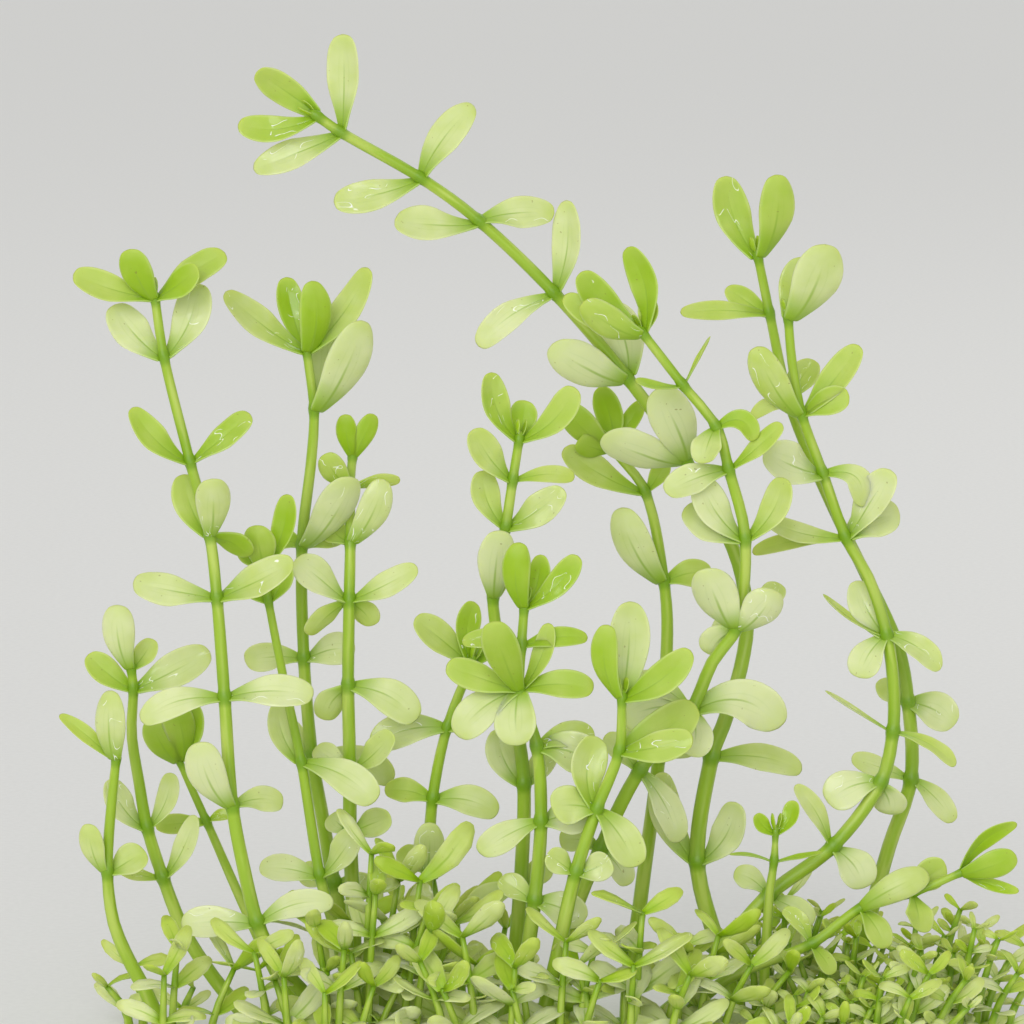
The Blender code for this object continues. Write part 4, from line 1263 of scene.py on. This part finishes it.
# %% Two finishes for leaves
# Painted highlight: the near-white colour of the bright strokes where the gloss ends.
PAINTED_HIGHLIGHT = srgb(252, 253, 250)
PAINTED_HIGHLIGHT_SHARE = 0.85
ROUGH_TO_GLOSSY = (0.46, 0.3)
COAT_LEAST, COAT_MOST = 0.05, 0.7
LEAF_BUMP = {"Distance": 0.05 * MM, "Strength": 0.5}


def use(tree, group, inputs):
    """Puts a node group into a material."""
    made = tree.nodes.new("ShaderNodeGroup")
    made.node_tree = group
    feed(tree, made, inputs)
    return made


def new_finish(name):
    """A material with nothing but its shader and output, its tree and its shader."""
    made = bpy.data.materials.new(name)
    made.use_nodes = True
    return made, made.node_tree, made.node_tree.nodes["Principled BSDF"]


def flesh(weight, depth):
    """The shader's values for a soft leaf or stem: green light goes farther into it than blue."""
    return {"Subsurface Weight": weight, "Subsurface Radius": (1.0, 1.0, 0.2), "Subsurface Scale": depth * MM}


def leaf_finish(name, painted_highlight_strength, painted_lift):
    """A fleshy leaf, glossy in places, with painted highlight strokes where the gloss ends, and, for a lift
    above 1, a brighter green that is painted light against shade.
    """
    made, tree, shader = new_finish(name)
    marks = use(tree, MARKINGS, {"Tone": kept(tree, "tone")})
    gloss = use(tree, GLOSS_AND_PAINTED_HIGHLIGHT, {"Seed": kept(tree, "seed")})
    # Painted highlight: the strokes turn the colour nearly white, more or less strongly for each finish.
    painted_highlight = calc(tree, "MULTIPLY", gloss.outputs["Painted Highlight"], PAINTED_HIGHLIGHT_SHARE * painted_highlight_strength)
    # Above 1 this brightens the green: painted light that lifts the shade among the short shoots.
    green = put(tree, "HueSaturation", {"Saturation": painted_lift, "Value": painted_lift, "Color": marks.outputs["Color"]})
    mask = gloss.outputs["Mask"]
    feed(tree, shader, {
        "Base Color": mix(tree, painted_highlight, green.outputs[0], PAINTED_HIGHLIGHT),
        "Roughness": ease(tree, mask, 0.0, 1.0, *ROUGH_TO_GLOSSY),
        "Normal": put(tree, "Bump", {"Height": marks.outputs["Height"], **LEAF_BUMP}).outputs[0],
        "Coat Weight": calc(tree, "MAXIMUM", calc(tree, "MULTIPLY", mask, COAT_MOST), COAT_LEAST),
        "Coat Roughness": 0.08,
        "Specular IOR Level": 0.3,
        **flesh(0.35, 1.0),
    })
    return made


LEAF = leaf_finish("fine_leaf", 1.0, 1.0)
# The mat's finish has weaker painted highlight strokes and is a little brighter, painted light against the
# shade at the foot of the clump.
MAT = leaf_finish("fine_mat", 0.6, 1.04)
print("finishes:", LEAF.name, MAT.name)

# %% [markdown]
# ### The finish of the stems
# A stem has pale streaks along it: partly the stem's own lighter lines, partly painted highlight for the
# shine that runs along it. They follow its straight shape, kept before it was bent, so that they bend with
# it. It is darkest at its joints, and a little darker just above each joint than halfway to the next.

# %% One finish for stems
STEM_GREEN = srgb(156, 188, 50)
STEM_STREAK_AND_SHEEN = srgb(188, 206, 98)
STEM_DARK = srgb(112, 156, 10)
STREAK_SCALE = 900
STREAK_SHAPE = (1.0, 1.0, 0.12)
STREAKS = (0.42, 0.66, 0.0, 0.75)
ABOVE_JOINT = (0.0, 0.6, 0.45, 0.0)
JOINT_SHARE = 0.85
STEM_BUMP = {"Distance": 0.08 * MM, "Strength": 0.4}


def stem_finish():
    """A green stem: lighter streaks along it, partly painted highlight, darker above each joint, and darkest
    at the joint itself.
    """
    made, tree, shader = new_finish("fine_stem")
    long = calc_vector(tree, "MULTIPLY", kept(tree, "straight", "Vector"), STREAK_SHAPE)
    streak = noise(tree, STREAK_SCALE, 1.0, long)
    # The pale streaks are partly the stem's own lighter lines and partly painted highlight for the shine
    # along it.
    colour = mix(tree, ease(tree, streak, *STREAKS), STEM_GREEN, STEM_STREAK_AND_SHEEN)
    colour = mix(tree, ease(tree, kept(tree, "between"), *ABOVE_JOINT), colour, STEM_DARK)
    colour = mix(tree, calc(tree, "MULTIPLY", kept(tree, "near_joint"), JOINT_SHARE), colour, STEM_DARK)
    feed(tree, shader, {
        "Base Color": colour,
        "Roughness": 0.38,
        "Specular IOR Level": 0.35,
        "Coat Weight": 0.15,
        "Coat Roughness": 0.12,
        "Normal": put(tree, "Bump", {"Height": streak, **STEM_BUMP}).outputs[0],
        **flesh(0.2, 0.8),
    })
    return made


STEM = stem_finish()
print("finish:", STEM.name)

# %% [markdown]
# ## Handing the pieces over
# Every piece rides on the plant's one body and stands for the solid it was modelled over, which is hidden.
# The two pattern blades are no pieces of the plant, so they go.

# %% Finishes and bodies
def hand_over(piece, finish, node):
    """Gives a piece its finish, hangs it on the plant's body and hides the solid that it stands for."""
    piece.data.materials.clear()
    piece.data.materials.append(finish)
    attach(piece, "root")
    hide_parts(node)


for node_name, piece in (stems | creepers).items():
    hand_over(piece, STEM, node_name)
for node_name, piece in (*foliage.items(), *own_blades.items()):
    hand_over(piece, LEAF, node_name)
for node_name, (stalks, blades) in mat.items():
    hand_over(stalks, STEM, node_name)
    hand_over(blades, MAT, node_name)
for pattern in (leaf_pattern, shoot_pattern):
    bpy.data.objects.remove(pattern, do_unlink=True)

# %% [markdown]
# ## The floor
# A plain pale floor, wide enough to reach the horizon. A faint noise keeps it from being one flat colour.

# %% The floor
FLOOR_SIZE = 30
FLOOR_GRAIN = 900.0
FLOOR_TONES = srgb(232, 232, 229), srgb(235, 235, 232)
bpy.ops.mesh.primitive_plane_add(size=FLOOR_SIZE, location=(0, 0, 0))
floor = bpy.context.object
floor.name = "floor"
ground, ground_tree, ground_shader = new_finish("floor")
grain = ease(ground_tree, noise(ground_tree, FLOOR_GRAIN), 0.3, 0.7)
feed(ground_tree, ground_shader, {"Base Color": mix(ground_tree, grain, *FLOOR_TONES), "Roughness": 0.7})
floor.data.materials.append(ground)
print("floor placed")

# %% [markdown]
# ## The light
# A soft, nearly shadowless light from the front left, as over a photographer's table. Bright surroundings
# do most of it. A wide sun gives the leaves their shape, a large lamp lifts the shadows in front, a small
# one makes the wet gloss glint, and one behind draws a thin rim.

# %% The light
PLANT_MIDDLE = (0, 0, 0.07)
SUN_PLACE = (-0.7, -2.2, 1.3)
SUN_POWER = 1.3
SUN_ANGLE = 50
SURROUNDINGS = 0.57
LAMPS = {"glint": ((-0.5, -1.2, 0.7), 0.12, 0.5), "front": ((0.35, -1.4, 0.25), 0.8, 3.0),
         "back": ((0.5, 0.7, 0.9), 0.5, 1.2)}


def add_light(kind, name, place, power):
    """A light that points at the middle of the plant."""
    bpy.ops.object.light_add(type=kind, location=place)
    lamp = bpy.context.object
    lamp.name = name
    lamp.data.energy = power
    lamp.rotation_euler = (Vector(PLANT_MIDDLE) - lamp.location).to_track_quat("-Z", "Y").to_euler()
    return lamp


add_light("SUN", "key", SUN_PLACE, SUN_POWER).data.angle = math.radians(SUN_ANGLE)
for name, (place, size, power) in LAMPS.items():
    add_light("AREA", name, place, power).data.size = size
world = bpy.data.worlds.new("studio")
bpy.context.scene.world = world
world.use_nodes = True
feed(world.node_tree, world.node_tree.nodes["Background"], {"Color": (1, 1, 1, 1), "Strength": SURROUNDINGS})
bpy.context.scene.view_settings.view_transform = "Standard"

# %% [markdown]
# ## The camera
# It stands where the photographer did, almost level with the plant and looking a little down on it. The
# lens follows from the distance and from how many millimetres of plant the picture is wide.

# %% The camera
PICTURE_MIDDLE_X = -4.71
PICTURE_MIDDLE_UP = 76.14
PIXELS, PIXELS_A_MM = 1024, 7
PICTURE_WIDTH = PIXELS / PIXELS_A_MM
SENSOR = 36
bpy.ops.object.camera_add()
camera = bpy.context.object
camera.name = "camera"
up = PICTURE_MIDDLE_UP * MM / math.cos(VIEW_TILT)
target = Vector(((PICTURE_MIDDLE_X - CENTRE_X) * MM, -CENTRE_Y * MM, up))
camera.location = target + Vector((0, -math.cos(VIEW_TILT), math.sin(VIEW_TILT))) * VIEW_DISTANCE
camera.rotation_euler = (math.pi / 2 - VIEW_TILT, 0, 0)
camera.data.sensor_width = SENSOR
camera.data.lens = SENSOR * VIEW_DISTANCE / (PICTURE_WIDTH * MM)
camera.data.clip_start = 0.01
camera.data.clip_end = 100
bpy.context.scene.camera = camera
print("lens", round(camera.data.lens), "mm")
